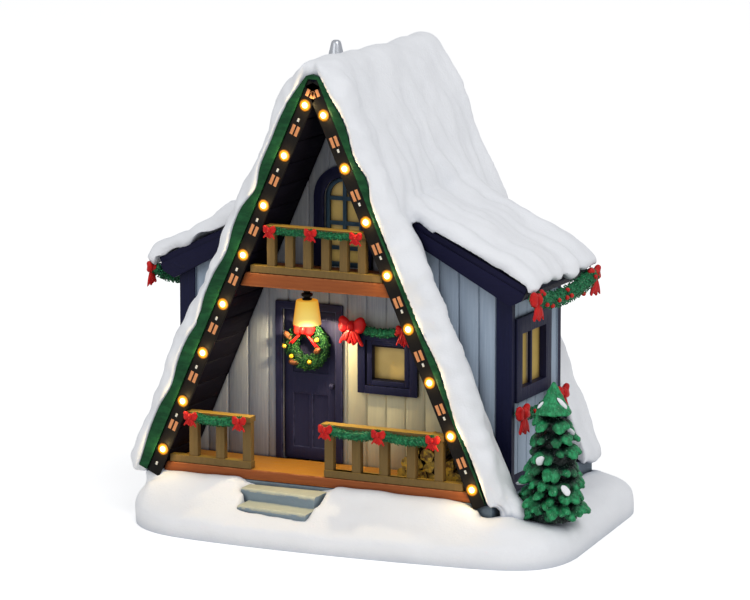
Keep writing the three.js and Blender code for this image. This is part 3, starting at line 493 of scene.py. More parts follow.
def new_material(name, **constants):
    """A material, its tree, its Principled shader with plain values set, and the place on the piece."""
    material = bpy.data.materials.new(name)
    material.use_nodes = True
    tree = material.node_tree
    shader = tree.nodes["Principled BSDF"]
    for socket, value in constants.items():
        shader.inputs[socket.replace("_", " ")].default_value = value
    where = add(tree, "ShaderNodeTexCoord").outputs["Object"]
    return material, tree, shader, where


def bump(tree, shader, height, depth_mm):
    made = add(tree, "ShaderNodeBump", {"Height": height, "Distance": depth_mm * MM})
    tree.links.new(made.outputs["Normal"], shader.inputs["Normal"])


def washed_and_shaded(tree, colour, reach_mm, hold, dark):
    """A colour darkened in its recesses: painted shade, and with it the dark wash of the casting."""
    return mix(tree, effect(tree, "wash", Reach=reach_mm * MM, Hold=hold), colour, dark)


def chosen(name):
    """The body colour that the settings hold for a paint."""
    return tuple(getattr(bpy.context.scene.chalet_paint, name))


def hand_paint(name, body, stroke, wash, stretch, share, rough, edge=None, reach_mm=2.0, hold=0.75,
               bump_mm=0.12, edge_amount=0.6, low=0.42, high=0.66, specular=0.2):
    """A painted casting: strokes of a second paint over the body colour, a darker colour in the recesses
    that is painted shade together with the casting's dark wash, and a paler paint dragged over the
    edges. Colours are as on a screen, and the body's may be the name of one that the settings hold."""
    material, tree, shader, where = new_material(name, Specular_IOR_Level=specular)
    marks = effect(tree, "strokes", Vector=where, Stretch=stretch, Low=low, High=high)
    body = chosen(body) if isinstance(body, str) else display(*body)
    colour = mix(tree, maths(tree, "MULTIPLY", marks, share), body, display(*stroke))
    if edge is not None:
        dragged = effect(tree, "wear", Edge=stored(tree, "edge"), Vector=where, Amount=edge_amount)
        colour = mix(tree, dragged, colour, display(*edge))
    # The recesses darkened: painted shade together with the casting's dark wash.
    colour = washed_and_shaded(tree, colour, reach_mm, hold, display(*wash))
    gloss = spread(tree, marks, 0.0, 1.0, rough - 0.08, rough + 0.12)
    feed(tree, shader, Base_Color=colour, Roughness=gloss)
    grain = effect(tree, "grain", Vector=where, Stretch=tuple(s * 1.7 for s in stretch), Fine=0.35)
    bump(tree, shader, grain, bump_mm)
    return material


def tinted(name, scale, first, second, bump_mm=0.0, detail=3.0, **constants):
    """A plain finish whose colour drifts between two tones."""
    material, tree, shader, where = new_material(name, **constants)
    drift = cloud(tree, where, scale, detail)
    feed(tree, shader, Base_Color=mix(tree, drift, first, second))
    if bump_mm:
        bump(tree, shader, drift, bump_mm)
    return material


# ---------------------------------------------------------------- paints

def snow_paint(name):
    """Snow cast in resin: matt white with a cool painted shade in its folds and a very fine frost."""
    material, tree, shader, where = new_material(name, Specular_IOR_Level=0.3)
    drift = cloud(tree, where, 45.0, 4.0)
    colour = mix(tree, drift, chosen("snow"), display(232, 234, 238))
    # A cool grey in the folds and hollows: painted shade.
    colour = washed_and_shaded(tree, colour, 7, 0.75, display(166, 174, 188))
    feed(tree, shader, Base_Color=colour, Roughness=spread(tree, drift, 0.0, 1.0, 0.5, 0.72))
    bump(tree, shader, effect(tree, "grain", Vector=where, Stretch=(160, 160, 160), Fine=0.5), 0.25)
    return material


def timber_paint(name):
    return hand_paint(name, "timber", (34, 36, 74), (8, 8, 18), edge=(54, 58, 100),
                      stretch=(1400, 1400, 60), share=0.3, rough=0.5, specular=0.15)


def fascia_paint(name):
    return hand_paint(name, (22, 22, 50), (32, 32, 68), (6, 6, 16), edge=(46, 50, 88),
                      stretch=(60, 1400, 1400), share=0.14, rough=0.5, specular=0.12)


# The underside of the roof boards in near-black navy: painted shade under the roof.
def shaded_soffit_paint(name):
    return hand_paint(name, (15, 14, 24), (24, 22, 36), (4, 4, 9), edge=(34, 31, 54),
                      stretch=(700, 70, 700), share=0.5, rough=0.6, specular=0.08)


def wall_paint(name):
    return hand_paint(name, "wall", (190, 202, 215), (62, 72, 92), edge=(208, 218, 228),
                      stretch=(2200, 2200, 60), share=0.4, reach_mm=1.4, hold=0.9, rough=0.6)


def lamplit_porch_wall_paint(name):
    """Pale boards, grey on the left of the door, with painted lamp light tinting them cream on the right,
    below the lamp.
    """
    material = hand_paint(name, (146, 152, 162), (176, 180, 184), (52, 54, 74), edge=(206, 206, 202),
                          stretch=(1500, 1500, 60), share=0.55, reach_mm=1.4, hold=0.92, rough=0.6)
    tree = material.node_tree
    place = add(tree, "ShaderNodeTexCoord").outputs["Object"]
    where = add(tree, "ShaderNodeSeparateXYZ", {"Vector": place}).outputs
    # Where the painted lamp light falls: right of the door and below the lamp.
    beside = spread(tree, where["X"], -2 * MM, 3 * MM)
    below = spread(tree, where["Z"], 80 * MM, 58 * MM)
    share = maths(tree, "MULTIPLY", maths(tree, "MULTIPLY", beside, below), 0.9)
    socket = tree.nodes["Principled BSDF"].inputs["Base Color"]
    painted = socket.links[0].from_socket
    painted_lamp_tint = mix(tree, share, (1, 1, 1), display(255, 246, 200))
    lit = mix(tree, 1.0, painted, painted_lamp_tint, blend="MULTIPLY")
    painted_lamp_light = mix(tree, maths(tree, "MULTIPLY", share, 0.5), lit, display(236, 226, 184))
    tree.links.new(painted_lamp_light, socket)
    return material


def door_paint(name):
    return hand_paint(name, (38, 38, 64), (52, 52, 82), (10, 10, 22), edge=(78, 80, 112),
                      stretch=(1600, 1600, 60), share=0.18, rough=0.5, specular=0.12)


def sash_paint(name):
    return hand_paint(name, (48, 74, 94), (70, 100, 120), (14, 24, 38), edge=(106, 138, 156),
                      stretch=(420, 420, 80), share=0.6, rough=0.5)


def rail_paint(name):
    return hand_paint(name, "railing", (126, 101, 60), (46, 34, 20), edge=(160, 128, 72),
                      stretch=(1100, 1100, 130), share=0.5, reach_mm=1.6, rough=0.5, specular=0.15,
                      edge_amount=0.45)


# The tops of the railings in a gold paint: painted light of the porch lamp falling on them.
def lamplit_rail_top_paint(name):
    return hand_paint(name, (186, 146, 62), (202, 164, 78), (90, 64, 26), edge=(214, 178, 92),
                      stretch=(130, 1100, 1100), share=0.5, reach_mm=1.2, rough=0.45, specular=0.15,
                      edge_amount=0.45)


def deck_paint(name):
    return hand_paint(name, (186, 124, 44), (208, 148, 58), (88, 48, 20), edge=(214, 158, 80),
                      stretch=(70, 1000, 1000), share=0.5, rough=0.45)


def terracotta_paint(name):
    return hand_paint(name, (140, 76, 40), (162, 92, 50), (66, 30, 18), edge=(184, 116, 70),
                      stretch=(70, 1000, 1000), share=0.5, rough=0.5, specular=0.12)


def stone_paint(name):
    return hand_paint(name, (124, 140, 150), (132, 147, 156), (60, 70, 82), edge=(196, 190, 158),
                      stretch=(240, 240, 240), share=0.6, rough=0.7, bump_mm=0.3)


# The tops of the grey stone steps in a paler, warmer paint: painted warm light on the treads.
def lamplit_tread_paint(name):
    return hand_paint(name, (184, 185, 164), (202, 200, 178), (110, 112, 104), edge=(222, 216, 190),
                      stretch=(260, 260, 260), share=0.35, rough=0.7, bump_mm=0.3)


def slate_paint(name):
    return hand_paint(name, (98, 113, 125), (122, 136, 146), (40, 50, 60), edge=(128, 140, 148),
                      stretch=(260, 260, 260), share=0.6, rough=0.65, bump_mm=0.3)


def trim_paint(name):
    return hand_paint(name, (18, 60, 36), (34, 94, 56), (6, 24, 18), edge=(62, 124, 66),
                      stretch=(150, 150, 420), share=0.6, rough=0.45, specular=0.12)


def green_paint(name):
    """Cast foliage: deep green with paler needles where the brush was dragged over the tips."""
    material, tree, shader, where = new_material(name, Specular_IOR_Level=0.15, Roughness=0.55)
    marks = effect(tree, "strokes", Vector=where, Stretch=(1100, 1100, 1100), Low=0.46, High=0.6)
    colour = mix(tree, marks, chosen("greenery"), display(48, 142, 92))
    flecks = effect(tree, "strokes", Vector=where, Stretch=(1900, 1900, 1900), Low=0.6, High=0.66)
    colour = mix(tree, maths(tree, "MULTIPLY", flecks, 0.6), colour, display(150, 196, 160))
    # Near-black green in the hollows between the needles: painted shade.
    feed(tree, shader, Base_Color=washed_and_shaded(tree, colour, 1.2, 0.92, display(6, 28, 22)))
    bump(tree, shader, effect(tree, "grain", Vector=where, Stretch=(1500, 1500, 1500), Fine=0.3), 0.1)
    return material


def wreath_paint(name):
    return hand_paint(name, (16, 56, 30), (66, 116, 54), (5, 20, 14), stretch=(1500, 1500, 1500),
                      share=0.85, reach_mm=1.2, hold=0.92, rough=0.5, low=0.5, high=0.58, specular=0.15)


# Near-black navy for the window casing: painted shade in the window's reveal and in the gaps between its
# rings of boards.
def recess_shade_paint(name):
    return hand_paint(name, (12, 12, 26), (20, 20, 40), (3, 3, 8), stretch=(500, 500, 500), share=0.5,
                      rough=0.6, specular=0.1)


def ribbon_paint(name):
    return hand_paint(name, "ribbon", (222, 52, 38), (78, 4, 12), stretch=(300, 300, 300), share=0.5,
                      reach_mm=1.3, hold=0.85, rough=0.4, bump_mm=0.06)


def berry_paint(name):
    return hand_paint(name, (190, 26, 26), (222, 70, 50), (84, 8, 10), stretch=(500, 500, 500), share=0.4,
                      reach_mm=0.8, rough=0.3, bump_mm=0.03)


def gold_paint(name):
    return hand_paint(name, (226, 168, 40), (248, 206, 96), (120, 74, 14), stretch=(500, 500, 500),
                      share=0.5, reach_mm=0.8, rough=0.3, bump_mm=0.03)


def cone_paint(name):
    return hand_paint(name, (98, 56, 32), (138, 88, 52), (34, 18, 12), stretch=(700, 700, 700), share=0.6,
                      reach_mm=0.8, rough=0.6, bump_mm=0.1)


# Brown bark with gold strokes and gold cut ends: painted glints of the porch lamp's light on the pile.
def bark_and_lamp_glint_paint(name):
    return hand_paint(name, (96, 68, 34), (222, 176, 58), (24, 16, 10), edge=(232, 192, 84),
                      stretch=(520, 150, 520), share=0.9, reach_mm=2.4, hold=0.92, rough=0.5, bump_mm=0.4,
                      low=0.5, high=0.58)


def fir_paint(name):
    """A cast fir: bright green boughs over near-black painted shade between them, with fine pale needle
    strokes.
    """
    material, tree, shader, where = new_material(name, Specular_IOR_Level=0.3, Roughness=0.42)
    needles = effect(tree, "strokes", Vector=where, Stretch=(700, 700, 320), Low=0.44, High=0.62)
    colour = mix(tree, needles, chosen("fir"), display(46, 160, 102))
    # Near-black between the boughs and a dark wash in the hollows: painted shade.
    colour = mix(tree, stored(tree, "recess"), colour, display(5, 24, 20))
    colour = washed_and_shaded(tree, colour, 2.0, 0.97, display(4, 18, 16))
    pale = effect(tree, "strokes", Vector=where, Stretch=(2300, 2300, 700), Low=0.63, High=0.67)
    colour = mix(tree, maths(tree, "MULTIPLY", pale, 0.6), colour, display(150, 196, 168))
    feed(tree, shader, Base_Color=colour)
    bump(tree, shader, effect(tree, "grain", Vector=where, Stretch=(1300, 1300, 500), Fine=0.4), 0.3)
    return material


def pane_paint(name):
    """A translucent window lit from inside, with painted shade darkening it towards its edges."""
    material, tree, shader, where = new_material(name, Roughness=0.25, Emission_Strength=0.35)
    colour = mix(tree, cloud(tree, where, 140.0, 3.0), display(178, 152, 88), display(150, 126, 66))
    # Darker where the frame closes over the pane: painted shade.
    colour = washed_and_shaded(tree, colour, 3, 0.85, display(60, 46, 34))
    feed(tree, shader, Base_Color=colour, Emission_Color=colour)
    return material


def steel_paint(name):
    return tinted(name, 600.0, display(176, 180, 188), display(214, 217, 222), 0.05, Metallic=0.85,
                  Roughness=0.3)


def strip_film(name):
    """The dark film of the light strip."""
    return tinted(name, 260.0, display(13, 12, 12), display(24, 21, 20), 0.04, Roughness=0.5,
                  Specular_IOR_Level=0.12)


def copper_pad(name):
    return tinted(name, 900.0, display(222, 152, 100), display(196, 128, 82), 0.03, Metallic=0.35,
                  Roughness=0.45)


def solder_metal(name):
    return tinted(name, 500.0, display(214, 210, 196), display(240, 238, 228), detail=2.0, Metallic=0.6,
                  Roughness=0.25)


def glow_lens(name):
    """The white-hot middle of a small lamp that is lit, yellow towards its rim."""
    material, tree, shader, _ = new_material(name, Roughness=0.3, Emission_Strength=1.6)
    colour = mix(tree, spread(tree, stored(tree, "rim"), 0.6, 1.0), display(255, 252, 232),
                 display(255, 206, 84))
    feed(tree, shader, Base_Color=colour, Emission_Color=colour)
    return material


def painted_glow_disc(name):
    """A painted glow round a small lamp: an amber disc that shines by itself, fading to dark at its rim."""
    material, tree, shader, where = new_material(name, Roughness=0.5, Specular_IOR_Level=0.1)
    near = maths(tree, "SUBTRACT", 1.0, stored(tree, "rim"), clamp=True)
    body = mix(tree, near, display(34, 24, 14), display(190, 120, 26))
    amber = mix(tree, cloud(tree, where, 500.0), display(255, 190, 44), display(252, 170, 26))
    glow = maths(tree, "MULTIPLY", maths(tree, "POWER", near, 1.3), 2.2)
    feed(tree, shader, Base_Color=body, Emission_Color=amber, Emission_Strength=glow)
    return material


def shade_paint(name):
    """The lamp shade, lit through: cream in its middle, amber at its sides, white-hot at the foot."""
    material, tree, shader, where = new_material(name, Roughness=0.6, Specular_IOR_Level=0.1)
    height = add(tree, "ShaderNodeSeparateXYZ", {"Vector": where}).outputs["Z"]
    sides = add(tree, "ShaderNodeLayerWeight", {"Blend": 0.5}).outputs["Facing"]
    facing = maths(tree, "SUBTRACT", 1.0, sides, clamp=True)
    cloth = mix(tree, cloud(tree, where, 500.0, 3.0), display(120, 100, 44), display(104, 84, 34))
    glow = spread(tree, height, 82 * MM, 74 * MM)
    lit = mix(tree, glow, display(240, 198, 84), display(255, 234, 138))
    lit = mix(tree, sides, lit, display(222, 134, 0))
    foot = spread(tree, height, 77 * MM, LAMP_MM[2] * MM)
    burst = maths(tree, "MULTIPLY", maths(tree, "POWER", foot, 2.0), maths(tree, "POWER", facing, 6.0))
    strength = maths(tree, "ADD", 0.8, maths(tree, "MULTIPLY", burst, 5.0))
    feed(tree, shader, Base_Color=cloth, Emission_Color=lit, Emission_Strength=strength)
    return material


PAINTS = {
    "snow": snow_paint, "timber": timber_paint, "fascia": fascia_paint, "soffit": shaded_soffit_paint,
    "wall": wall_paint, "porch wall": lamplit_porch_wall_paint, "door": door_paint, "sash": sash_paint,
    "rail": rail_paint, "rail top": lamplit_rail_top_paint, "deck": deck_paint, "terracotta": terracotta_paint,
    "stone": stone_paint, "tread": lamplit_tread_paint, "slate": slate_paint, "trim": trim_paint,
    "green": green_paint, "wreath": wreath_paint, "recess": recess_shade_paint, "ribbon": ribbon_paint,
    "berry": berry_paint, "gold": gold_paint, "cone": cone_paint, "bark": bark_and_lamp_glint_paint, "fir": fir_paint,
    "pane": pane_paint, "steel": steel_paint, "strip film": strip_film, "copper": copper_pad,
    "solder": solder_metal, "lens": glow_lens, "halo": painted_glow_disc, "shade": shade_paint,
}


def coat(name):
    """One of the paints, mixed when it is first asked for."""
    return bpy.data.materials.get("Chalet " + name) or PAINTS[name]("Chalet " + name)


def paint_faces(piece, name, test):
    """Gives the faces that pass a test a second paint."""
    piece.data.materials.append(coat(name))
    index = len(piece.data.materials) - 1
    for face in piece.data.polygons:
        if test(face.center / MM, face.normal):
            face.material_index = index


# ---------------------------------------------------------------- snow

SNOW_NODES = ("roof_snow_left", "roof_snow_right", "wing_left_snow", "wing_right_snow")
FIRST_FOLD_SEED, SECOND_FOLD_SEED, WANDER_SEED = 7, 17, 3


def swell(distance, reach):
    """A soft swell: 1 at its middle and almost nothing two reaches away."""
    return math.exp(-((distance / reach) ** 2))


# The green edging's reach off the middle of a leg, and its swells down the leg: middle, size, half width.
TRIM_REACH_MM = {"left": 7, "right": 3}
TRIM_SWELLS_MM = {
    "left": ((0, -2.5, 12), (26, -1, 12), (43, -2.5, 6), (69, -1.5, 7), (97, -1.5, 6), (124, -1.5, 7),
             (158, -1.5, 12)),
    "right": ((16, 2.5, 11), (37, 2.5, 6), (106, 1.5, 10), (128, -1, 6), (158, -1, 9)),
}


def swell_at(swells, place):
    """The sum of soft swells at a place, each given by its middle, its size and its half width."""
    return sum(size * swell(place - middle, reach) for middle, size, reach in swells)


def ease(value, start, end):
    """A soft step from 0 at start to 1 at end."""
    share = min(1.0, max(0.0, (value - start) / (end - start)))
    return share * share * (3 - 2 * share)


def trim_edge(side, distance):
    """How far out the green edging reaches, a distance down one leg."""
    name = "left" if side < 0 else "right"
    return TRIM_REACH_MM[name] + swell_at(TRIM_SWELLS_MM[name], distance)


def leg_lift(place, side):
    """How far a place in millimetres stands off the middle line of one leg of the gable."""
    return side * place.x * OUT.x - (APEX_Z_MM - place.z) * OUT.z


# The eave of a wing's roof, out from the middle of the house and up, and the roof's rise per millimetre in.
WING_EAVE_MM, WING_EAVE_Z_MM, WING_SLOPE = 72.3, 92.1, 0.477
# The snow's front edge on a wing lies this far above the roof, between two places out from the middle of
# the house, and hangs in lobes: middle, size and half width.
WING_EDGE_LIFT_MM = 0.9
WING_EDGE_SPAN_MM = {"left": (44, 73), "right": (37, 73)}
WING_LOBES_MM = {
    "left": ((55, 1.5, 3), (61.5, -2.5, 2.5), (70, -1, 1.5)),
    "right": ((48, 1, 10), (62, -0.5, 3)),
}
# Snow nearer the gable than this isn't the wings'. The edge is drawn up fully as far back as the first of
# two places and not at all behind the second, and what lies too deep below it is left where it is.
WING_SNOW_START_MM = 12
WING_EDGE_FADE_MM = (22, 30)
WING_EDGE_DEPTH_MM = (5, 7)
# What stands over the front edge's height on the left wing is pressed down to this share, and the
# pressing sets in over this distance from the wing's inner end.
LEFT_WING_KEPT = 0.75
LEFT_WING_EASE_MM = 10


def wing_edge(name, out):
    """Height of the snow's front edge on one wing, a distance out from the middle of the house."""
    roof = WING_EAVE_Z_MM + (WING_EAVE_MM - out) * WING_SLOPE
    return roof + WING_EDGE_LIFT_MM + swell_at(WING_LOBES_MM[name], out)


def lift_wing_edges(piece):
    """Draws up the low front edge of the snow on the wings, in soft lobes."""
    for vertex in piece.data.vertices:
        x, y, z = vertex.co / MM
        name = "left" if x < 0 else "right"
        back = y - GABLE_Y_MM
        start, end = WING_EDGE_SPAN_MM[name]
        if not start <= abs(x) <= end or back < WING_SNOW_START_MM:
            continue
        below = wing_edge(name, abs(x)) - z
        near = (1 - ease(back, *WING_EDGE_FADE_MM)) * (1 - ease(below, *WING_EDGE_DEPTH_MM))
        vertex.co.z += max(0.0, below) * near * MM
    piece.data.update()


def settle_left_wing(piece):
    """Presses the snow on the left wing down towards its front edge's height."""
    inner = WING_EDGE_SPAN_MM["left"][0]
    for vertex in piece.data.vertices:
        x, _, z = vertex.co / MM
        above = z - wing_edge("left", -x)
        if x < 0 and above > 0:
            vertex.co.z -= above * (1 - LEFT_WING_KEPT) * ease(-x, inner, inner + LEFT_WING_EASE_MM) * MM
    piece.data.update()


# How deep the rolled front of the snow is, and over what distance past the edging it comes forward.
ROLL_DEPTH_MM = 7
ROLL_CLEAR_MM = (0.2, 2.0)


def roll_forward(piece, reach_mm):
    """Draws the front of the snow forward past the edging, as a rounded roll."""
    for vertex in piece.data.vertices:
        place = vertex.co / MM
        side, fall = (1 if place.x > 0 else -1), APEX_Z_MM - place.z
        distance = abs(place.x) * DOWN.x - fall * DOWN.z
        past = leg_lift(place, side) - trim_edge(side, distance)
        near = 1 - ease(place.y - GABLE_Y_MM, 0, ROLL_DEPTH_MM)
        vertex.co.y -= reach_mm * near * ease(past, *ROLL_CLEAR_MM) * MM
    piece.data.update()


# The width across a fold of the roof's snow and its length down the slope, how far the folds wander, and
# over what lengths back and down they do.
LONG_FOLD_MM, SHORT_FOLD_MM = (9.5, 40), (4.6, 17)
WANDER_MM, WANDER_PITCH_MM = 6, (26, 24)
# The folds grow from the ridge to this distance down, and the lumps grow towards the front.
FOLDS_GROWN_MM = 30
FRONT_BAND_MM = (6, 14)


def drift_push(settings):
    """How far the roof's snow swells at a place: long folds down the slopes and small lumps."""
    def folds(across, down, size, seed):
        return noise.noise(Vector((across / size[0], down / size[1], seed))) * settings.fold_mm

    def push(place, normal):
        side = 1 if place.x > 0 else -1
        down = (APEX_Z_MM - place.z) / math.sin(PITCH)
        grown = min(1.0, max(0.15, down / FOLDS_GROWN_MM))
        wander = Vector((place.y / WANDER_PITCH_MM[0], down / WANDER_PITCH_MM[1], WANDER_SEED + side))
        across = place.y + WANDER_MM * noise.noise(wander)
        long_folds = folds(across, down, LONG_FOLD_MM, FIRST_FOLD_SEED + side)
        short_folds = folds(across, down, SHORT_FOLD_MM, SECOND_FOLD_SEED + side) * 0.4
        front = 1 - ease(place.y - GABLE_Y_MM, *FRONT_BAND_MM)
        lumps = noise.noise(place / 13) * 1.2 + noise.noise(place / 5) * (0.35 + 0.55 * front)
        swollen = (long_folds + short_folds) * grown + lumps
        inner = 1 - ease(leg_lift(place, side) - trim_edge(side, down), 1.0, 4.0)
        return swollen * (1 - inner * front)
    return push


def lump(centre, reach, name):
    """A rounded lump, given by its centre and its reach along x, y and z in millimetres."""
    piece = shape(bpy.ops.mesh.primitive_uv_sphere_add, name, segments=24, ring_count=16, radius=1)
    piece.scale = Vector(reach) * MM
    return moved(settle(piece), point(*centre))


# The lump that ends the roll at the foot of the right leg: its centre and its reach.
ROLL_FOOT_MM, ROLL_FOOT_REACH_MM = (74, 6, 15), (4.5, 5, 6.5)


def roof_snow(settings):
    """The blanket of snow over both slopes and the wings, folded, rolled and settled."""
    layers = []
    for node in SNOW_NODES:
        layer = solid_copy(node, node + "_layer")
        layers.append(modify(layer, "DISPLACE", strength=0.4 * MM, mid_level=0.0))
    layers.append(lump(ROLL_FOOT_MM, ROLL_FOOT_REACH_MM, "roll_foot"))
    piece = join(layers, "snow_blanket")
    modify(piece, "REMESH", mode="VOXEL", voxel_size=settings.voxel_mm * MM)
    modify(piece, "SMOOTH", factor=0.6, iterations=settings.smoothing)
    sculpt(piece, drift_push(settings))
    lift_wing_edges(piece)
    settle_left_wing(piece)
    roll_forward(piece, settings.roll_mm)
    smooth(piece, 180)
    return dress(piece, coat("snow"), "snow", *SNOW_NODES)


# The snow that fills the ground under the house and under the steps, each from one corner to the other,
# and how far the ground is drawn down before it is cut flat.
HOUSE_BED_MM = (-68.4, 0.4, 7), (60, 91.6, 17.9)
STEPS_BED_MM = (-26.8, -16, 6), (5.9, 1, 9.3)
GROUND_DEPTH_MM = 6
# The lip of snow against the porch: how far it reaches each way, where it fades out on either side of the
# steps, and its height. Then the drifts at the feet of the gable: the place and height of each.
PORCH_HALF_MM = 64
STEPS_START_MM, STEPS_END_MM = (-31, -27), (6, 10)
LIP_MM = 1.5
DRIFTS_MM = ((75, 2.5), (-66, 2.0))


def ground_push(place, normal):
    """Soft unevenness of the ground, and a lip of snow drawn up against the porch."""
    uneven = min(1, max(0, place.z) / 6) * (noise.noise(place / 17) * 0.8 + noise.noise(place / 6) * 0.3)
    back = place.y - GABLE_Y_MM
    lip = swell(back + 1.5, 5) * (1 if abs(place.x) < PORCH_HALF_MM else 0)
    steps = ease(place.x, *STEPS_START_MM) * (1 - ease(place.x, *STEPS_END_MM))
    drifts = sum(high * swell(place.x - x, 7) * swell(back + 1, 8) for x, high in DRIFTS_MM)
    return uneven + (LIP_MM * lip * (1 - steps) + drifts) * max(0, normal.z)


def ground_snow(settings):
    """The snow base, cut flat underneath, with the beds that the house and the steps stand in."""
    ground = solid_copy("snow_base", "snow_ground")
    beds = [box(*HOUSE_BED_MM, "under_house"), box(*STEPS_BED_MM, "under_steps")]
    piece = join([ground, *beds], "snow_ground")
    for vertex in piece.data.vertices:
        if vertex.co.z < 0.1 * MM:
            vertex.co.z = -GROUND_DEPTH_MM * MM
    modify(piece, "REMESH", mode="VOXEL", voxel_size=1.5 * settings.voxel_mm * MM)
    modify(piece, "SMOOTH", factor=0.6, iterations=settings.smoothing)
    sculpt(piece, ground_push)
    edit(piece)
    bpy.ops.mesh.bisect(plane_co=(0, 0, 0), plane_no=(0, 0, 1), use_fill=True, clear_inner=True)
    leave_edit()
    smooth(piece, 60)
    return dress(piece, coat("snow"), "snow", "snow_base")


# ---------------------------------------------------------------- walls and openings

LEFT_BOARDS_MM = [-5.9 - 8.1 * i for i in range(8)]
RIGHT_BOARDS_MM = [1.4 + 7.6 * i for i in range(8)]
REAR_BOARDS_MM = [BOARD_MM * (i - 7.5) for i in range(16)]
X_AXIS, Y_AXIS, Z_AXIS = Vector((1, 0, 0)), Vector((0, 1, 0)), Vector((0, 0, 1))


# The ends of a wing, the boards across them, and the posts at its corners: how far in they start, how wide
# they are and how far they stand proud.
WING_FRONT_MM, WING_REAR_MM = GABLE_Y_MM + 24, GABLE_Y_MM + 66
WING_END_BOARDS_MM = (29.6, 37.2, 44.8, 52.5, 59.2)
POST_INNER_MM, POST_WIDE_MM, POST_PROUD_MM = 60, 2.1, 0.3


def board_up(piece, face_normal, across, positions, width_mm=0.9, depth_mm=0.6, near=None):
    """Cuts the gaps between boards into one face of a wall."""
    edit(piece, everything=False)
    for position in positions:
        cut_groove(piece, face_normal, across, position, width_mm, depth_mm, near)
    leave_edit()


def gable_walls():
    front = solid_copy("front_wall", "front_boards")
    board_up(front, -Y_AXIS, X_AXIS, LEFT_BOARDS_MM + RIGHT_BOARDS_MM)
    soften(front, 0.12, segments=1)
    dress(front, coat("porch wall"), "wall", "front_wall")
    rear = solid_copy("rear_wall", "rear_boards")
    board_up(rear, Y_AXIS, X_AXIS, REAR_BOARDS_MM)
    soften(rear, 0.12, segments=1)
    dress(rear, coat("wall"), "wall", "rear_wall")


def wing_walls(name, side):
    """Boards the walls of one wing and paints the posts at its corners."""
    node = f"wing_{name}_walls"
    walls = solid_copy(node, f"wing_{name}_boards")
    ends = [side * x for x in WING_END_BOARDS_MM]
    board_up(walls, -Y_AXIS, X_AXIS, ends, near=lambda c: c.y < WING_FRONT_MM + 1)
    board_up(walls, Y_AXIS, X_AXIS, ends, near=lambda c: c.y > WING_REAR_MM - 1)
    longs = [WING_FRONT_MM + 6.2 + BOARD_MM * i for i in range(4)]
    board_up(walls, X_AXIS * side, Y_AXIS, longs, near=lambda c: abs(c.x) > WING_FACE_MM - 0.1)
    soften(walls, 0.15, segments=1)
    dress(walls, coat("wall"), "wall", node)

    def is_post(centre, normal):
        x, y = abs(centre.x), centre.y
        at_end = y < WING_FRONT_MM + POST_WIDE_MM or y > WING_REAR_MM - POST_WIDE_MM
        proud = (x > WING_FACE_MM + POST_PROUD_MM or y < WING_FRONT_MM - POST_PROUD_MM
                 or y > WING_REAR_MM + POST_PROUD_MM)
        inner = abs(normal.z) < 0.5 and x < POST_INNER_MM + 0.5
        return x > POST_INNER_MM - 0.5 and at_end and (proud or inner)
    paint_faces(walls, "timber", is_post)


def cast_piece(node, name, paint_name, slot, bevel_mm, segments=2):
    """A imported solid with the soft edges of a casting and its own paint."""
    piece = solid_copy(node, name)
    soften(piece, bevel_mm, segments)
    return dress(piece, coat(paint_name), slot, node)


def ring_of_boards(across, upright, depth, width_mm, name, paint_name):
    """Four boards round an opening, given by its ranges of x, z and y in millimetres."""
    (x0, x1), (z0, z1), (y0, y1) = across, upright, depth
    low, high = x0 + width_mm, x1 - width_mm
    sides = ((x0, z0, low, z1), (high, z0, x1, z1),
             (low, z0, high, z0 + width_mm), (low, z1 - width_mm, high, z1))
    boards = [box((a, y0, b), (c, y1, d), "board", 0.2) for a, b, c, d in sides]
    return dress(smooth(join(boards, name)), coat(paint_name), "navy")


# The rings of boards in the front window: their ranges of x, z and y, and how wide a board is.
WINDOW_BOARDS_MM = (6.2, 29.5), (49, 71.3), (21.9, 23), 2.9
WINDOW_SASH_MM = (9.9, 26.3), (52.1, 68.6), (22.3, 25), 1.8


def openings():
    cast_piece("door", "door_leaf", "door", "door", 0.3)
    cast_piece("door_frame", "door_casing", "door", "door", 0.35)
    # The casing under the rings of boards is near-black: painted shade in the reveal.
    cast_piece("front_window_frame", "window_casing", "recess", "navy", 0.4)
    ring_of_boards(*WINDOW_BOARDS_MM, "window_boards", "timber")
    ring_of_boards(*WINDOW_SASH_MM, "window_sash", "timber")
    cast_piece("rear_window_frame", "rear_window_casing", "timber", "navy", 0.4)
    cast_piece("gable_window_frame", "arch_casing", "timber", "navy", 0.35)
    cast_piece("gable_window_sash", "arch_sash", "sash", "teal", 0.25)
    for node in ("front_window_pane", "gable_window_pane", "rear_window_pane"):
        cast_piece(node, node + "_lit", "pane", "pane", 0.1, 1)
    for name in SIDES:
        cast_piece(f"wing_{name}_window_frame", f"wing_{name}_window_casing", "timber", "navy", 0.35)
        cast_piece(f"wing_{name}_window_pane", f"wing_{name}_pane_lit", "pane", "pane", 0.1, 1)


ROOF_THICK_MM = 2
ROOF_BOARDS_MM = [12 + 9 * i for i in range(16)]


def roofs():
    for name, side in SIDES.items():
        boards = solid_copy(f"roof_{name}", f"roof_{name}_boards")
        square = Vector((OUT.x * side, 0, OUT.z))
        length = Vector((DOWN.x * side, 0, DOWN.z))
        ridge = (Vector((0, 0, APEX_Z_MM)) - square * ROOF_THICK_MM).dot(length)
        board_up(boards, -square, length, [ridge + at for at in ROOF_BOARDS_MM], 0.8, 0.6)
        soften(boards, 0.15, 1)
        dress(boards, coat("timber"), "navy", f"roof_{name}")
        # The faces under the roof get the darker paint: painted shade.
        paint_faces(boards, "soffit", lambda c, n, s=square: n.dot(s) < -0.1)
        cast_piece(f"wing_{name}_roof", f"wing_{name}_fascia", "fascia", "navy", 0.35)


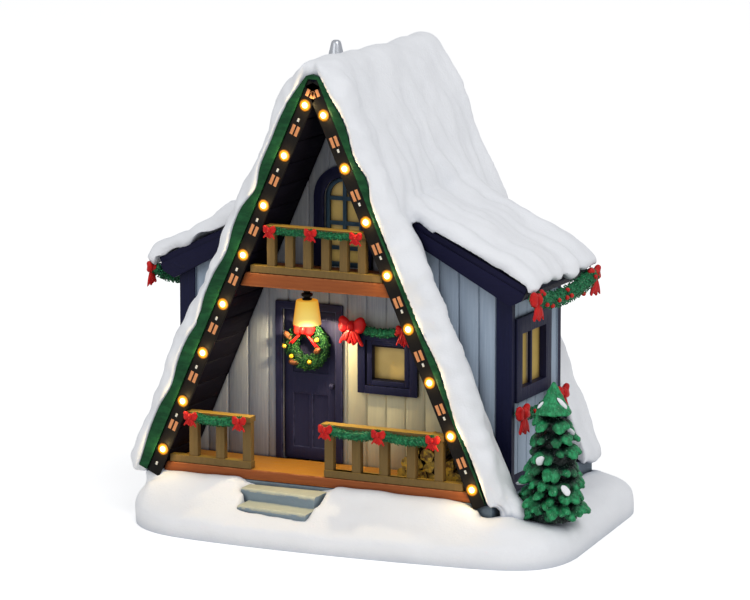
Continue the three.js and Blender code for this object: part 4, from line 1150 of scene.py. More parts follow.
def floors():
    deck = cast_piece("porch_floor", "porch_deck", "deck", "decking", 0.4)
    paint_faces(deck, "terracotta", lambda c, n: n.y < -0.3)
    cast_piece("balcony_floor", "balcony_deck", "terracotta", "terracotta", 0.5)
    cast_piece("foundation", "foundation_stone", "slate", "slate", 0.4)
    steps = cast_piece("porch_steps", "stone_steps", "stone", "stone", 0.3, 2)
    # The upward faces get the paler paint: painted light on the treads.
    paint_faces(steps, "tread", lambda c, n: n.z > 0.6)


def railings():
    for node in ("balcony_railing", "porch_railing_left", "porch_railing_right"):
        rail = cast_piece(node, node + "_painted", "rail", "railing", 0.35)
        # The upward faces get the gold paint: painted lamp light on the rail tops.
        paint_faces(rail, "rail top", lambda c, n: n.z > 0.6)


# ---------------------------------------------------------------- greenery

def ribbon_tail(width_mm, length_mm, lean_mm, name):
    """One tail of a bow: a thick ribbed strip, spread and notched at its end."""
    piece = shape(bpy.ops.mesh.primitive_grid_add, name, x_subdivisions=8, y_subdivisions=7, size=1)
    for vertex in piece.data.vertices:
        across, down = 2 * vertex.co.x, 0.5 - vertex.co.y
        spread_mm = width_mm * (0.5 + 0.5 * down)
        notch = 0.24 * (1 - abs(across)) * down ** 4
        rib = math.cos(across * math.pi * 2) * 0.09 * width_mm
        x = across * spread_mm / 2 + lean_mm * down
        y = -rib - 0.12 * width_mm * math.sin(down * 2.6)
        vertex.co = Vector((x, y, -length_mm * (down - notch))) * MM
    modify(piece, "SOLIDIFY", thickness=0.3 * width_mm * MM, offset=0.0)
    return modify(piece, "SUBSURF", levels=1, render_levels=1)


def ribbon_loop(reach_mm, side, name):
    """One loop of a bow: a plump fold, pinched at the knot, ribbed and creased down its middle."""
    piece = shape(bpy.ops.mesh.primitive_uv_sphere_add, name, segments=20, ring_count=14, radius=1)
    for vertex in piece.data.vertices:
        share = (vertex.co.x + 1) / 2
        tall = 0.5 + 0.5 * share
        rib = 1 + 0.07 * math.cos(vertex.co.z * 9)
        y = vertex.co.y * (0.55 + 0.45 * share) * rib
        y += 0.5 * swell(vertex.co.z, 0.3) * share if vertex.co.y < 0 else 0
        z = vertex.co.z * tall * reach_mm * 0.72 + share * reach_mm * 0.14
        vertex.co = Vector((share * reach_mm * side, y * reach_mm * 0.4, z)) * MM
    return face_outward(piece)


def bow_model(width_mm, height_mm, tail_mm=None, lean=0.25):
    """A chunky ribbon bow that faces the front, its knot at the origin."""
    reach = width_mm / 2
    drop = height_mm * 0.6
    tail = tail_mm or width_mm * 0.42
    knot = shape(bpy.ops.mesh.primitive_uv_sphere_add, segments=14, ring_count=10, radius=1)
    knot.scale = Vector((0.15 * width_mm, 0.22 * width_mm, 0.17 * height_mm)) * MM
    settle(knot)
    parts = [knot, ribbon_loop(reach, 1, "loop"), ribbon_loop(reach, -1, "loop"),
             ribbon_tail(tail, drop, width_mm * lean, "tail"),
             ribbon_tail(tail, drop * 0.92, -width_mm * lean, "tail")]
    return smooth(join(parts, "bow"), 50)


def leaf_model():
    """A short, flat needle that stands on its base."""
    piece = shape(bpy.ops.mesh.primitive_ico_sphere_add, subdivisions=1, radius=1)
    moved(piece, Z_AXIS)
    piece.scale = (0.5, 0.28, 0.5)
    return settle(piece)


def swag_path(start, end, sag_mm, steps):
    """Points and directions along a hanging curve between two places."""
    middle = (start + end) / 2 - Vector((0, 0, 2 * sag_mm * MM))
    found = []
    for i in range(steps + 1):
        t = i / steps
        place = start.lerp(middle, t).lerp(middle.lerp(end, t), t)
        heading = (middle - start).lerp(end - middle, t).normalized()
        found.append((place, heading))
    return found


def swag_leaves(path, radius_mm, leaf_mm, rng, around):
    """Places for the leaves that clothe a rope of greenery, all swept one way."""
    places = []
    for place, heading in path:
        square = heading.orthogonal().normalized()
        for k in range(around):
            turn = Matrix.Rotation(math.tau * (k + rng.random()) / around, 3, heading)
            out = turn @ square
            thick = radius_mm * (0.55 + 0.3 * rng.random())
            way = (out * (0.55 + 0.5 * rng.random()) + heading * (0.9 - 0.3 * rng.random())).normalized()
            size = Vector((1, 1, 1)) * leaf_mm * (0.75 + 0.5 * rng.random()) * MM
            places.append(sized(place + out * thick * MM, turned_to(way, rng.random() * 6), size))
    return places


def rope(path, radius_mm, name):
    """The solid heart of a garland."""
    curve = bpy.data.curves.new(name, "CURVE")
    curve.dimensions = "3D"
    curve.bevel_depth = radius_mm * MM
    curve.bevel_resolution = 2
    curve.use_fill_caps = True
    line = curve.splines.new("POLY")
    line.points.add(len(path) - 1)
    for spot, (place, _) in zip(line.points, path):
        spot.co = (*place, 1)
    piece = bpy.data.objects.new(name, curve)
    bpy.context.scene.collection.objects.link(piece)
    activate(piece)
    bpy.ops.object.convert(target="MESH")
    return bpy.context.object


def berries(places, radius_mm, name, paint_name):
    """Small balls at some places, dressed as a piece of the greenery."""
    ball = shape(bpy.ops.mesh.primitive_ico_sphere_add, subdivisions=2, radius=radius_mm * MM)
    piece = scatter(ball, [Matrix.Translation(p) for p in places], name)
    return dress(smooth(piece, 180), coat(paint_name), "garland")


LEAF_STEP_MM = 0.5
BERRY_MM = 0.85


def garland(node, anchors, sag_mm, radius_mm, bows_mm, seed, turn=0.0, berry_share=0.0, leaf_mm=0.55,
            ahead_mm=1.5):
    """Swags of close leaves between bows, in the place of one plain garland. bows_mm holds the
    width and height of each bow, and ahead_mm how far the bows stand out from the rope."""
    rng = random.Random(seed)
    parts, leaves, dots = [], [], []
    outward = -Y_AXIS if abs(turn) < 0.1 else X_AXIS * math.copysign(1, turn)
    for start, end in zip(anchors, anchors[1:]):
        steps = max(8, int((end - start).length / MM / LEAF_STEP_MM))
        path = swag_path(start, end, sag_mm, steps)
        parts.append(rope(path, radius_mm * 0.85, "core"))
        leaves += swag_leaves(path, radius_mm * 1.12, leaf_mm, rng, around=9)
        for place, heading in path[3:-3]:
            if rng.random() < berry_share:
                out = Matrix.Rotation(rng.uniform(-1.2, 0.9), 3, heading) @ outward
                dots.append(place + out * radius_mm * MM)
    parts.append(scatter(leaf_model(), leaves, "leaves"))
    dress(join(parts, node + "_leaves"), coat("green"), "garland", node)
    facing = Matrix.Rotation(turn, 4, "Z")
    ahead = facing @ -Y_AXIS * (ahead_mm * MM)
    bows = [moved(bow_model(*size), Matrix.Translation(place + ahead) @ facing)
            for place, size in zip(anchors, bows_mm)]
    dress(smooth(join(bows, node + "_bows"), 50), coat("ribbon"), "garland")
    if dots:
        berries(dots, BERRY_MM, node + "_berries", "berry")


def row(xs, y, z):
    """Places side by side at one height."""
    return [point(x, y, z) for x in xs]


def garlands():
    small, middling = (5, 5.4), (5.6, 6.3)
    garland("balcony_garland", row((-16.4, -0.4, 17.2), -0.8, 109.7), sag_mm=0.7, radius_mm=1.15,
            bows_mm=[small] * 3, seed=3)
    garland("porch_garland_left", row((-48, -28.6), -1.2, 40), sag_mm=1.2, radius_mm=1.75,
            bows_mm=[middling] * 2, seed=4)
    garland("porch_garland_right", row((5.4, 26.1, 47), -1.2, 40.1), sag_mm=1.5, radius_mm=1.75,
            bows_mm=[middling] * 3, seed=5)
    garland("window_garland", [point(5.2, 21, 73.4), point(25.4, 21, 73.2)], sag_mm=1.8, radius_mm=1.6,
            bows_mm=[(10.6, 12), (6, 10)], seed=6, berry_share=0.06)
    for name, side in SIDES.items():
        turn = math.pi / 2 * side
        sag, radius, bow = (7.2, 2.3, (7.5, 12)) if name == "left" else (3.2, 3.1, (9.5, 13.4))
        eave = [point(75 * side, 21.8, 88.2), point(75 * side, 72.6, 88.8)]
        garland(f"wing_{name}_eave_garland", eave, sag, radius, bows_mm=[bow] * 2, seed=7 + side,
                turn=turn, berry_share=0.07, leaf_mm=0.7, ahead_mm=0.9)
        sill = [point(68.4 * side, 23.6, 46.8), point(68.4 * side, 58.6, 47.6)]
        garland(f"wing_{name}_sill_garland", sill, sag_mm=2.6, radius_mm=2.1, bows_mm=[(9.5, 13)] * 2,
                seed=12 + side, turn=turn, berry_share=0.05, leaf_mm=0.6, ahead_mm=1.6)


WREATH_MM, WREATH_RADIUS_MM, WREATH_STEPS = (-13.5, WALL_FACE_MM - 2.3, 64.2), 6.1, 76
WREATH_BOW_MM = (-13.5, WALL_FACE_MM - 5.1, 70.6)
# Across and up from the middle of the wreath, and for a cone the angle it points at.
WREATH_BERRIES_MM = ((5.1, 3.0), (-7.8, -0.2), (-5.1, -3.7), (2.1, -5.2))
WREATH_CONES_MM = ((5.1, -0.9, 0.6), (-4.3, -5.8, 3.0), (-6.7, 3.7, 2.2))


def wreath():
    centre = point(*WREATH_MM)
    ring = settle(shape(bpy.ops.mesh.primitive_torus_add, rotation=(math.pi / 2, 0, 0), major_segments=40,
                        minor_segments=12, major_radius=WREATH_RADIUS_MM * MM, minor_radius=2.5 * MM))
    ring.scale.y = 0.72
    moved(settle(ring), centre)
    path = []
    for i in range(WREATH_STEPS):
        angle = math.tau * i / WREATH_STEPS
        place = centre + Vector((math.cos(angle), 0, math.sin(angle))) * WREATH_RADIUS_MM * MM
        path.append((place, Vector((-math.sin(angle), 0, math.cos(angle)))))
    leaves = scatter(leaf_model(), swag_leaves(path, 3.1, 0.7, random.Random(21), around=12), "leaves")
    dress(join([ring, leaves], "wreath_leaves"), coat("wreath"), "garland", "door_wreath")
    spots = [centre + Vector((x, -2.6, z)) * MM for x, z in WREATH_BERRIES_MM]
    berries(spots, BERRY_MM, "wreath_berries", "gold")
    cones = []
    for x, z, way in WREATH_CONES_MM:
        turn = turned_to(Vector((math.cos(way), -0.4, math.sin(way))))
        cones.append(Matrix.Translation(centre + Vector((x, -2.2, z)) * MM) @ turn)
    dress(smooth(scatter(pinecone_model(), cones, "wreath_cones"), 60), coat("cone"), "garland")
    bow = moved(bow_model(8.6, 10.5, 1.5, 0.62), point(*WREATH_BOW_MM))
    dress(smooth(join([bow], "wreath_bow"), 50), coat("ribbon"), "garland")


def pinecone_model():
    """A small cone built of rings of scales."""
    piece = shape(bpy.ops.mesh.primitive_uv_sphere_add, segments=14, ring_count=12, radius=1)
    for vertex in piece.data.vertices:
        x, y, z = vertex.co
        scale = 1 + 0.16 * math.sin(z * 16) * math.cos(7 * math.atan2(y, x))
        vertex.co = Vector((x * 1.15 * scale, y * 1.15 * scale, z * 1.9)) * MM
    return piece


# ---------------------------------------------------------------- lamp, firewood, stovepipe

LAMP_MM = (-8.7, 12, 74.2)
# Radius and height over the lamp's foot.
SHADE_MM = ((4.4, 0), (4.95, 0), (5.05, 0.25), (3.9, 8.6), (3.65, 8.8), (0.9, 8.8), (0.9, 8.4), (3.2, 8.3),
            (3.4, 8.0), (4.4, 0))
STEM_MM = ((0, 8.3), (1.5, 8.6), (1.9, 9.2), (1.0, 9.7), (2.0, 10.3), (2.1, 11), (1.0, 11.5), (1.5, 12.1),
           (1.6, 12.7), (0.8, 13.2), (0.7, 13.6), (0, 13.6))
BULB_MM = ((0, 0.9), (0.9, 1.1), (1.5, 1.9), (1.6, 2.8), (1.0, 4.2), (0.8, 5.4), (0, 5.4))


def porch_lamp():
    foot = point(*LAMP_MM)
    shade = lathe(SHADE_MM, "lamp_shade", 48, foot)
    dress(smooth(shade, 40), coat("shade"), "lamp", "porch_lamp")
    stem = lathe(STEM_MM, "lamp_stem", 24, foot)
    dress(smooth(stem, 40), coat("strip film"), "lamp")
    bulb = lathe(BULB_MM, "lamp_bulb", 20, foot)
    dress(smooth(bulb, 180), coat("lens"), "lamp")


def log_model(radius_mm, length_mm, seed):
    """A log lying front to back: a rough shaft with cut ends, two logs of three with a flat cleft."""
    piece = settle(shape(bpy.ops.mesh.primitive_cylinder_add, vertices=11, radius=radius_mm * MM,
                         depth=length_mm * MM, rotation=(math.pi / 2, 0, 0), end_fill_type="NGON"))
    edit(piece)
    choose_faces(piece, lambda normal, centre: abs(normal.y) < 0.5)
    bpy.ops.mesh.subdivide(number_cuts=4)
    leave_edit()
    shift = Vector((seed * 3.7, seed * 1.9, seed * 5.3))
    rng = random.Random(seed)
    cleft = Vector((rng.uniform(-1, 1), 0, rng.uniform(-0.4, 1))).normalized()
    for vertex in piece.data.vertices:
        place = vertex.co / MM
        rough = 0.22 * noise.noise(place / 1.6 + shift) + 0.12 * noise.noise(place / 0.6 + shift)
        vertex.co += Vector((vertex.co.x, 0, vertex.co.z)).normalized() * rough * 2 * MM
        over = vertex.co.dot(cleft) - 0.35 * radius_mm * MM
        if over > 0 and seed % 3:
            vertex.co -= cleft * over * 0.85
    return piece


# The rows of the pile from below: how many logs, and the first one's place across and up.
LOG_ROWS_MM = ((6, 30.6, 24.7), (5, 32.4, 28.6), (3, 35.8, 32.4), (2, 38.4, 35.6))
LOG_PITCH_MM, PILE_BACK_MM = 4.0, 14


def firewood():
    logs = []
    for index, (count, x, z) in enumerate(LOG_ROWS_MM):
        for i in range(count):
            seed = 5 * index + i + 1
            rng = random.Random(seed * 7)
            log = log_model(2.25 + 0.3 * rng.random(), 12 + 2 * rng.random(), seed)
            place = point(x + i * LOG_PITCH_MM, PILE_BACK_MM + rng.uniform(-0.8, 0.8),
                          z + rng.uniform(-0.2, 0.2))
            turn = Matrix.Rotation(rng.uniform(-0.12, 0.12), 4, "Z")
            roll = Matrix.Rotation(rng.uniform(0, 6), 4, "Y")
            logs.append(moved(log, Matrix.Translation(place) @ turn @ roll))
    pile = join(logs, "firewood_pile")
    # The cut ends are marked for the gold paint: painted lamp light on them.
    mark_edges(pile, {f.index for f in pile.data.polygons if abs(f.normal.y) > 0.8})
    dress(smooth(pile, 35), coat("bark"), "bark", "firewood")


# Radius and height over the lower edge of the cap.
CAP_MM = ((0, 0.02), (3.75, 0.02), (3.75, 0.4), (3.35, 1.7), (1.85, 8.3), (1.55, 9.05), (0.95, 9.45),
          (0, 9.55))


def stovepipe():
    low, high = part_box("stovepipe_cap")
    cap = lathe(CAP_MM, "stovepipe_cone", 36, ((low[0] + high[0]) / 2, (low[1] + high[1]) / 2, low.z))
    dress(smooth(cap, 50), coat("steel"), "steel", "stovepipe_cap")


# ---------------------------------------------------------------- gable trim and light strip

def slab_on_leg(distance, lift, size, depth, side, name, bevel_mm):
    """A thin block laid along one leg of the gable: its size along and across it, and its range of y."""
    low, high = depth
    piece = shape(bpy.ops.mesh.primitive_cube_add, name, size=1,
                  location=on_leg(distance, lift, side, (low + high) / 2),
                  rotation=(0, PITCH if side > 0 else math.pi - PITCH, 0))
    piece.scale = Vector((size[0], high - low, size[1])) * MM
    return soften(settle(piece), bevel_mm)


# The ribbon of edging on a leg: where it starts off the middle line, how far it goes under the snow, from
# where to where it runs down the leg, its thickness, its place before the gable and its cuts.
EDGING_INNER_MM = 2.8
EDGING_TUCK_MM = 0.7
EDGING_SPAN_MM = {"left": (5, 157), "right": (5, 142)}
EDGING_THICK_MM, EDGING_Y_MM, EDGING_CUTS = 1.2, -0.68, (76, 4)
# At the foot of the right leg the solid's edging is drawn in to this lift, below this height.
FOOT_LIFT_MM, FOOT_HEIGHT_MM, FOOT_FADE_MM = 2.6, 30, 6


def edging_leg(name, side):
    """One leg of the edging, a ribbon from beside the light strip out to where the snow begins."""
    along, across = EDGING_CUTS
    piece = shape(bpy.ops.mesh.primitive_grid_add, "edging_" + name, x_subdivisions=along,
                  y_subdivisions=across, size=1)
    start, end = EDGING_SPAN_MM[name]
    for vertex in piece.data.vertices:
        distance = start + (end - start) * (vertex.co.x + 0.5)
        width = trim_edge(side, distance) + EDGING_TUCK_MM - EDGING_INNER_MM
        lift = EDGING_INNER_MM + width * (vertex.co.y + 0.5)
        vertex.co = on_leg(distance, lift, side, EDGING_Y_MM)
    return face_outward(modify(piece, "SOLIDIFY", thickness=EDGING_THICK_MM * MM, offset=0.0))


def gable_trim():
    trim = solid_copy("gable_trim", "gable_greenery", whole=False)
    for vertex in trim.data.vertices:
        place = vertex.co / MM
        over = leg_lift(place, 1) - FOOT_LIFT_MM
        if place.x > 0 and place.z < FOOT_HEIGHT_MM and over > 0:
            vertex.co -= OUT * over * ease(FOOT_HEIGHT_MM - place.z, 0, FOOT_FADE_MM) * MM
    legs = [edging_leg(name, side) for name, side in SIDES.items()]
    edging = join([trim, *legs], "gable_greenery")
    soften(edging, 0.4, 3)
    dress(edging, coat("trim"), "trim", "gable_trim")


# On each leg: the middle of the film, and the sizes of the film and of what lies on it, along and across.
FILM_AT_MM, END_PAD_AT_MM = 77.9, 2.6
FILM_MM, BASE_MM, RESISTOR_MM = (158.8, 5), (2.4, 2.4), (1.3, 0.8)
PAD_MM, END_PAD_MM = (3.7, 1.2), (2.6, 1.2)
FILM_Y_MM, PAD_Y_MM, RESISTOR_Y_MM = (-0.75, -0.05), (-0.85, -0.7), (-1.0, -0.7)
PAD_LIFTS_MM, RESISTOR_LIFT_MM = (-0.92, 0.92), 0.2
# A resistor comes this far after each lamp, and none of them or of the pads comes past the end.
RESISTOR_AFTER_MM = {"left": 6.0, "right": 13.4}
LAST_PAD_MM, LAST_RESISTOR_MM = 156, 155


def light_strip():
    film, pads, solder, bases, lenses = [], [], [], [], []
    for name, side in SIDES.items():
        film.append(slab_on_leg(FILM_AT_MM, 0, FILM_MM, FILM_Y_MM, side, "film", 0.1))
        for i in range(LIGHTS_A_LEG):
            at = FIRST_LIGHT_MM[name] + LIGHT_PITCH_MM * i
            bases.append(slab_on_leg(at, 0, BASE_MM, PAD_Y_MM, side, "base", 0.05))
            lenses.append(on_leg(at, 0, side))
            middle = at + LIGHT_PITCH_MM / 2
            if middle < LAST_PAD_MM:
                pads += [slab_on_leg(middle, lift, PAD_MM, PAD_Y_MM, side, "pad", 0.07)
                         for lift in PAD_LIFTS_MM]
            spot = at + RESISTOR_AFTER_MM[name]
            if spot < LAST_RESISTOR_MM:
                solder.append(slab_on_leg(spot, RESISTOR_LIFT_MM, RESISTOR_MM, RESISTOR_Y_MM, side,
                                          "resistor", 0.1))
        pads += [slab_on_leg(END_PAD_AT_MM, lift, END_PAD_MM, PAD_Y_MM, side, "pad", 0.07)
                 for lift in PAD_LIFTS_MM]
    dress(join(film, "strip_film"), coat("strip film"), "strip", "light_strip")
    dress(join(pads, "strip_pads"), coat("copper"), "strip")
    dress(join(solder, "strip_resistors"), coat("solder"), "strip")
    dress(join(bases, "strip_lamp_bases"), coat("solder"), "strip")
    # Painted glow: amber discs round the lamps that shine by themselves.
    domes(lenses, HALO_RADIUS_MM, 0.16, -0.88, "strip_halos", "halo")
    domes(lenses, LAMP_RADIUS_MM, 0.55, -1.0, "strip_lamps", "lens")


def domes(places, radius_mm, depth_mm, y_mm, name, paint_name):
    """Shallow domes on the strip, each point storing how far it is from the middle, from 0 to 1."""
    centres = [place + Vector((0, y_mm, 0)) * MM for place in places]
    dome = shape(bpy.ops.mesh.primitive_uv_sphere_add, segments=24, ring_count=16, radius=radius_mm * MM)
    dome.scale.y = depth_mm / radius_mm
    settle(dome)
    piece = smooth(scatter(dome, [Matrix.Translation(centre) for centre in centres], name), 180)
    each = len(piece.data.vertices) // len(centres)
    away = [vertex.co - centres[vertex.index // each] for vertex in piece.data.vertices]
    store(piece, "rim", [Vector((step.x, step.z)).length / (radius_mm * MM) for step in away])
    return dress(piece, coat(paint_name), "strip")


# ---------------------------------------------------------------- fir tree

FIR_MM = (85.4, 14.6, 12.6)
FIR_HEIGHT_MM = 48.6
# The height of the boughs' tips and their reach, at the brim of the top and in each tier below it.
FIR_BRIM_MM = (38.4, 7.0)
FIR_TIERS_MM = ((33.4, 8.6), (28.4, 10.2), (23.4, 11.4), (18.4, 12.4), (13.4, 13.4), (8.6, 14.0), (4.9, 14.4),
                (3.4, 13.6))
# The heart under the boughs: two cones, each from one height to another, with its radius below.
FIR_HEART_MM = ((0, FIR_HEIGHT_MM - 4, 8.4), (FIR_BRIM_MM[0] - 1.0, FIR_HEIGHT_MM, 6.5))
# The dabs of snow on the side that faces this way: across, up, length, width and turn in degrees.
FIR_FACE_DEGREES = 25.51
FIR_DABS_MM = ((-4.4, 40.8, 1.7, 0.6, 50), (2.9, 41.5, 2.7, 0.8, -42), (5.6, 31.4, 2.4, 1.1, -45),
               (-4.8, 22.4, 1.8, 1.6, 80), (10.1, 18.0, 1.9, 0.8, -15), (-10.6, 12.6, 2.4, 1.2, 30),
               (4.0, 12.1, 2.2, 1.2, -58))


def bough_model():
    """A plump bough that points along +X, fullest near its hanging tip, one unit long."""
    piece = shape(bpy.ops.mesh.primitive_ico_sphere_add, subdivisions=3, radius=1)
    for vertex in piece.data.vertices:
        share = (vertex.co.x + 1) / 2
        full = 0.55 + 0.75 * share
        z = vertex.co.z * 0.25 * full - 0.42 * share ** 2.2
        vertex.co = Vector((share, vertex.co.y * 0.33 * full, z))
    return piece


def fir_boughs():
    """The boughs of the fir: for each the height of its tip, its direction, length and fullness."""
    rng = random.Random(31)
    found = []
    for tier, (height, reach) in enumerate((FIR_BRIM_MM, *FIR_TIERS_MM)):
        full = 4.6 if tier == 0 else 5.2 + 0.06 * reach
        count = round(math.tau * reach * 0.8 / (full * 0.8))
        for k in range(count):
            angle = math.tau * (k + 0.5 * (tier % 2) + rng.uniform(-0.34, 0.34)) / count
            loose = 0.8 if tier == 0 else 1.5
            found.append((height + rng.uniform(-loose, loose), angle, reach * rng.uniform(0.76, 1.0),
                          full * rng.uniform(0.85, 1.3)))
    return found


def fir_reach(height_mm):
    """How far the boughs reach at a height above the foot."""
    line = [(FIR_HEIGHT_MM, 0.6), FIR_BRIM_MM, *FIR_TIERS_MM, (0, 14.3)]
    for (top, narrow), (low, wide) in zip(line, line[1:]):
        if height_mm >= low:
            return narrow + (wide - narrow) * (top - height_mm) / (top - low)
    return line[-1][1]


def fir_push(place, normal):
    """The roughness of the needles, drawn out downward."""
    tall = Vector((place.x, place.y, place.z / 3))
    return 0.26 * noise.noise(place / 1.2) + 0.2 * noise.noise(tall / 0.6)


def fir_shade_depth(place):
    """How deep between the boughs a place in millimetres from the foot lies, from 0 to 1, for the painted
    shade there.
    """
    if place.z >= FIR_BRIM_MM[0] - 1.5:
        return 0.0
    share = Vector((place.x, place.y)).length / fir_reach(place.z)
    return 1 - ease(share, 0.58, 0.82)


def fir_tree():
    rng = random.Random(32)
    centre = point(*FIR_MM)
    places = []
    for height, angle, reach, full in fir_boughs():
        root = centre + Vector((0, 0, height + 0.3 * full)) * MM
        turn = Matrix.Rotation(angle, 4, "Z") @ Matrix.Rotation(rng.uniform(-0.06, 0.14), 4, "Y")
        wide = full * rng.uniform(0.88, 1.12)
        places.append(sized(root, turn, Vector((reach, wide, full)) * MM))
    parts = [scatter(bough_model(), places, "boughs")]
    for low, high, foot_mm in FIR_HEART_MM:
        parts.append(settle(shape(bpy.ops.mesh.primitive_cone_add, vertices=24, radius1=foot_mm * MM,
                                  radius2=0.5 * MM, depth=(high - low) * MM,
                                  location=centre + Vector((0, 0, (low + high) / 2)) * MM)))
    tree = join(parts, "fir_boughs")
    modify(tree, "REMESH", mode="VOXEL", voxel_size=0.42 * MM)
    modify(tree, "SMOOTH", factor=0.5, iterations=1)
    sculpt(tree, fir_push)
    # Stores how deep between the boughs each point lies, where the paint darkens it as shade.
    store(tree, "recess", [fir_shade_depth((vertex.co - centre) / MM) for vertex in tree.data.vertices])
    dress(smooth(tree, 60), coat("fir"), "tree", "fir_tree")
    fir_snow(tree)


def fir_snow(tree):
    """Dabs of snow: some set one by one on the front boughs, the rest on boughs at the back."""
    centre = point(*FIR_MM)
    face = math.radians(FIR_FACE_DEGREES)
    facing = Vector((math.sin(face), -math.cos(face), 0))
    across = Vector((-facing.y, facing.x, 0))
    wanted = [(across, facing, *dab) for dab in FIR_DABS_MM]
    rng = random.Random(8)
    for height, _ in FIR_TIERS_MM[1:]:
        spot, length, roll = rng.uniform(-6, 6), rng.uniform(1.6, 2.3), rng.uniform(-50, 50)
        wanted.append((-across, -facing, spot, height + 0.5, length, 1.2, roll))
    dabs = []
    for right, out, x, z, length, width, roll in wanted:
        start = centre + (right * x + out * 30 + Vector((0, 0, z))) * MM
        found, place, normal, _ = tree.ray_cast(start, -out)
        if not found:
            continue
        turn = math.radians(roll)
        along = (right * math.cos(turn) + Vector((0, 0, math.sin(turn)))).normalized()
        along = (along - normal * along.dot(normal)).normalized()
        lie = Matrix((along, normal.cross(along), normal)).transposed().to_4x4()
        dabs.append(sized(place, lie, Vector((length, width, 0.6)) * MM))
    dab = shape(bpy.ops.mesh.primitive_ico_sphere_add, subdivisions=3, radius=1)
    for vertex in dab.data.vertices:
        vertex.co *= 1 + 0.22 * noise.noise(vertex.co * 1.4)
    dress(smooth(scatter(dab, dabs, "fir_snow"), 180), coat("snow"), "snow")


# ---------------------------------------------------------------- stage

CAMERA_MM = Vector((715.77, -1496.40, 387.14))
CAMERA_AZIMUTH, CAMERA_ELEVATION = 25.51, 10.56
SENSOR_MM, LENS_MM = 36, 225.2
AIM_MM = Vector((0, 0, 80))
# The soft lights' places and widths in metres, and the colours of the small lamps' light.
KEY, FILL = ((1.25, -0.9, 1.9), 1.6), ((-0.7, -2.0, 1.2), 1.4)
STRIP_LIGHT, PORCH_LIGHT = (1.0, 0.72, 0.3), (1.0, 0.8, 0.46)
STRIP_LIGHT_Y_MM, PORCH_LIGHT_RISE_MM = -3.2, 1.2


def camera():
    lens = bpy.data.cameras.new("Camera")
    lens.sensor_width = SENSOR_MM
    lens.lens = LENS_MM
    eye = bpy.data.objects.new("Camera", lens)
    eye.location = CAMERA_MM * MM
    eye.rotation_euler = (math.radians(90 - CAMERA_ELEVATION), 0, math.radians(CAMERA_AZIMUTH))
    bpy.context.scene.collection.objects.link(eye)
    bpy.context.scene.camera = eye


def light(name, kind, place, watts, **settings):
    """A light of one kind at a place, with its other settings by name."""
    data = bpy.data.lights.new(name, kind)
    data.energy = watts
    for setting, value in settings.items():
        setattr(data, setting, value)
    lamp = bpy.data.objects.new(name, data)
    lamp.location = place
    bpy.context.scene.collection.objects.link(lamp)
    return lamp


def soft_light(name, place, size, watts):
    """A round soft light that looks at the middle of the house."""
    lamp = light(name, "AREA", place, watts, shape="DISK", size=size)
    lamp.rotation_euler = (AIM_MM * MM - Vector(place)).to_track_quat("-Z", "Y").to_euler()


def seen_directly(tree):
    """1 for what the camera sees by itself or through a clear piece, and 0 for other rays."""
    path = add(tree, "ShaderNodeLightPath").outputs
    return maths(tree, "MAXIMUM", path["Is Camera Ray"], path["Is Transmission Ray"])


def floor_paint(name):
    """A pale floor that reads as white round the object and keeps its shadow."""
    material, tree, shader, where = new_material(name, Roughness=0.9, Specular_IOR_Level=0.1)
    tone = mix(tree, cloud(tree, where, 2.0), (0.86, 0.86, 0.86), (0.88, 0.88, 0.88))
    feed(tree, shader, Base_Color=tone)
    strength = maths(tree, "MULTIPLY", seen_directly(tree), 0.42)
    lift = add(tree, "ShaderNodeEmission", {"Color": (1, 1, 1, 1), "Strength": strength})
    total = add(tree, "ShaderNodeAddShader", {0: shader.outputs[0], 1: lift.outputs[0]})
    tree.links.new(total.outputs[0], tree.nodes["Material Output"].inputs["Surface"])
    return material


def world(strength):
    """Even light of one strength from all round, which the camera sees as near white."""
    studio = bpy.data.worlds.new("Studio")
    studio.use_nodes = True
    tree = studio.node_tree
    background = tree.nodes["Background"]
    level = spread(tree, seen_directly(tree), 0.0, 1.0, strength, 1.0)
    tree.links.new(level, background.inputs["Strength"])
    background.inputs["Color"].default_value = (0.97, 0.98, 1.0, 1)
    bpy.context.scene.world = studio


def stage(settings):
    bpy.context.scene.view_settings.view_transform = "Standard"
    camera()
    world(settings.sky)
    floor = shape(bpy.ops.mesh.primitive_plane_add, "floor", size=24, location=(0, 0, -0.02 * MM))
    floor.data.materials.append(floor_paint("Studio floor"))
    soft_light("Key", *KEY, settings.key_watts)
    soft_light("Fill", *FILL, settings.fill_watts)
    for name, side in SIDES.items():
        for i in range(LIGHTS_A_LEG):
            place = on_leg(FIRST_LIGHT_MM[name] + LIGHT_PITCH_MM * i, 0, side, STRIP_LIGHT_Y_MM)
            light(f"Strip lamp {name} {i + 1}", "POINT", place, settings.strip_watts,
                  shadow_soft_size=MM, color=STRIP_LIGHT)
    x, y, z = LAMP_MM
    light("Porch lamp", "POINT", point(x, y, z + PORCH_LIGHT_RISE_MM), settings.porch_watts,
          shadow_soft_size=1.4 * MM, color=PORCH_LIGHT)


# ---------------------------------------------------------------- settings

class SnowSettings(bpy.types.PropertyGroup):
    """How the snow lies."""
    voxel_mm: FloatProperty(name="Fineness", description="Size of the snow's facets, in millimetres",
                            default=1.1, min=0.5, max=4)
    smoothing: IntProperty(name="Smoothing", description="How often the snow is smoothed",
                           default=4, min=0, max=40)
    fold_mm: FloatProperty(name="Folds", description="Depth of the folds down the slopes, in millimetres",
                           default=2.5, min=0, max=4)
    roll_mm: FloatProperty(name="Roll", description="How far the snow rolls past the gable, in millimetres",
                           default=2.2, min=0, max=3)


def paint_colour(name, red, green, blue):
    """A property for the body colour of one paint."""
    return FloatVectorProperty(name=name, description="Body colour of the " + name.lower(), subtype="COLOR",
                               default=display(red, green, blue), min=0, max=1)


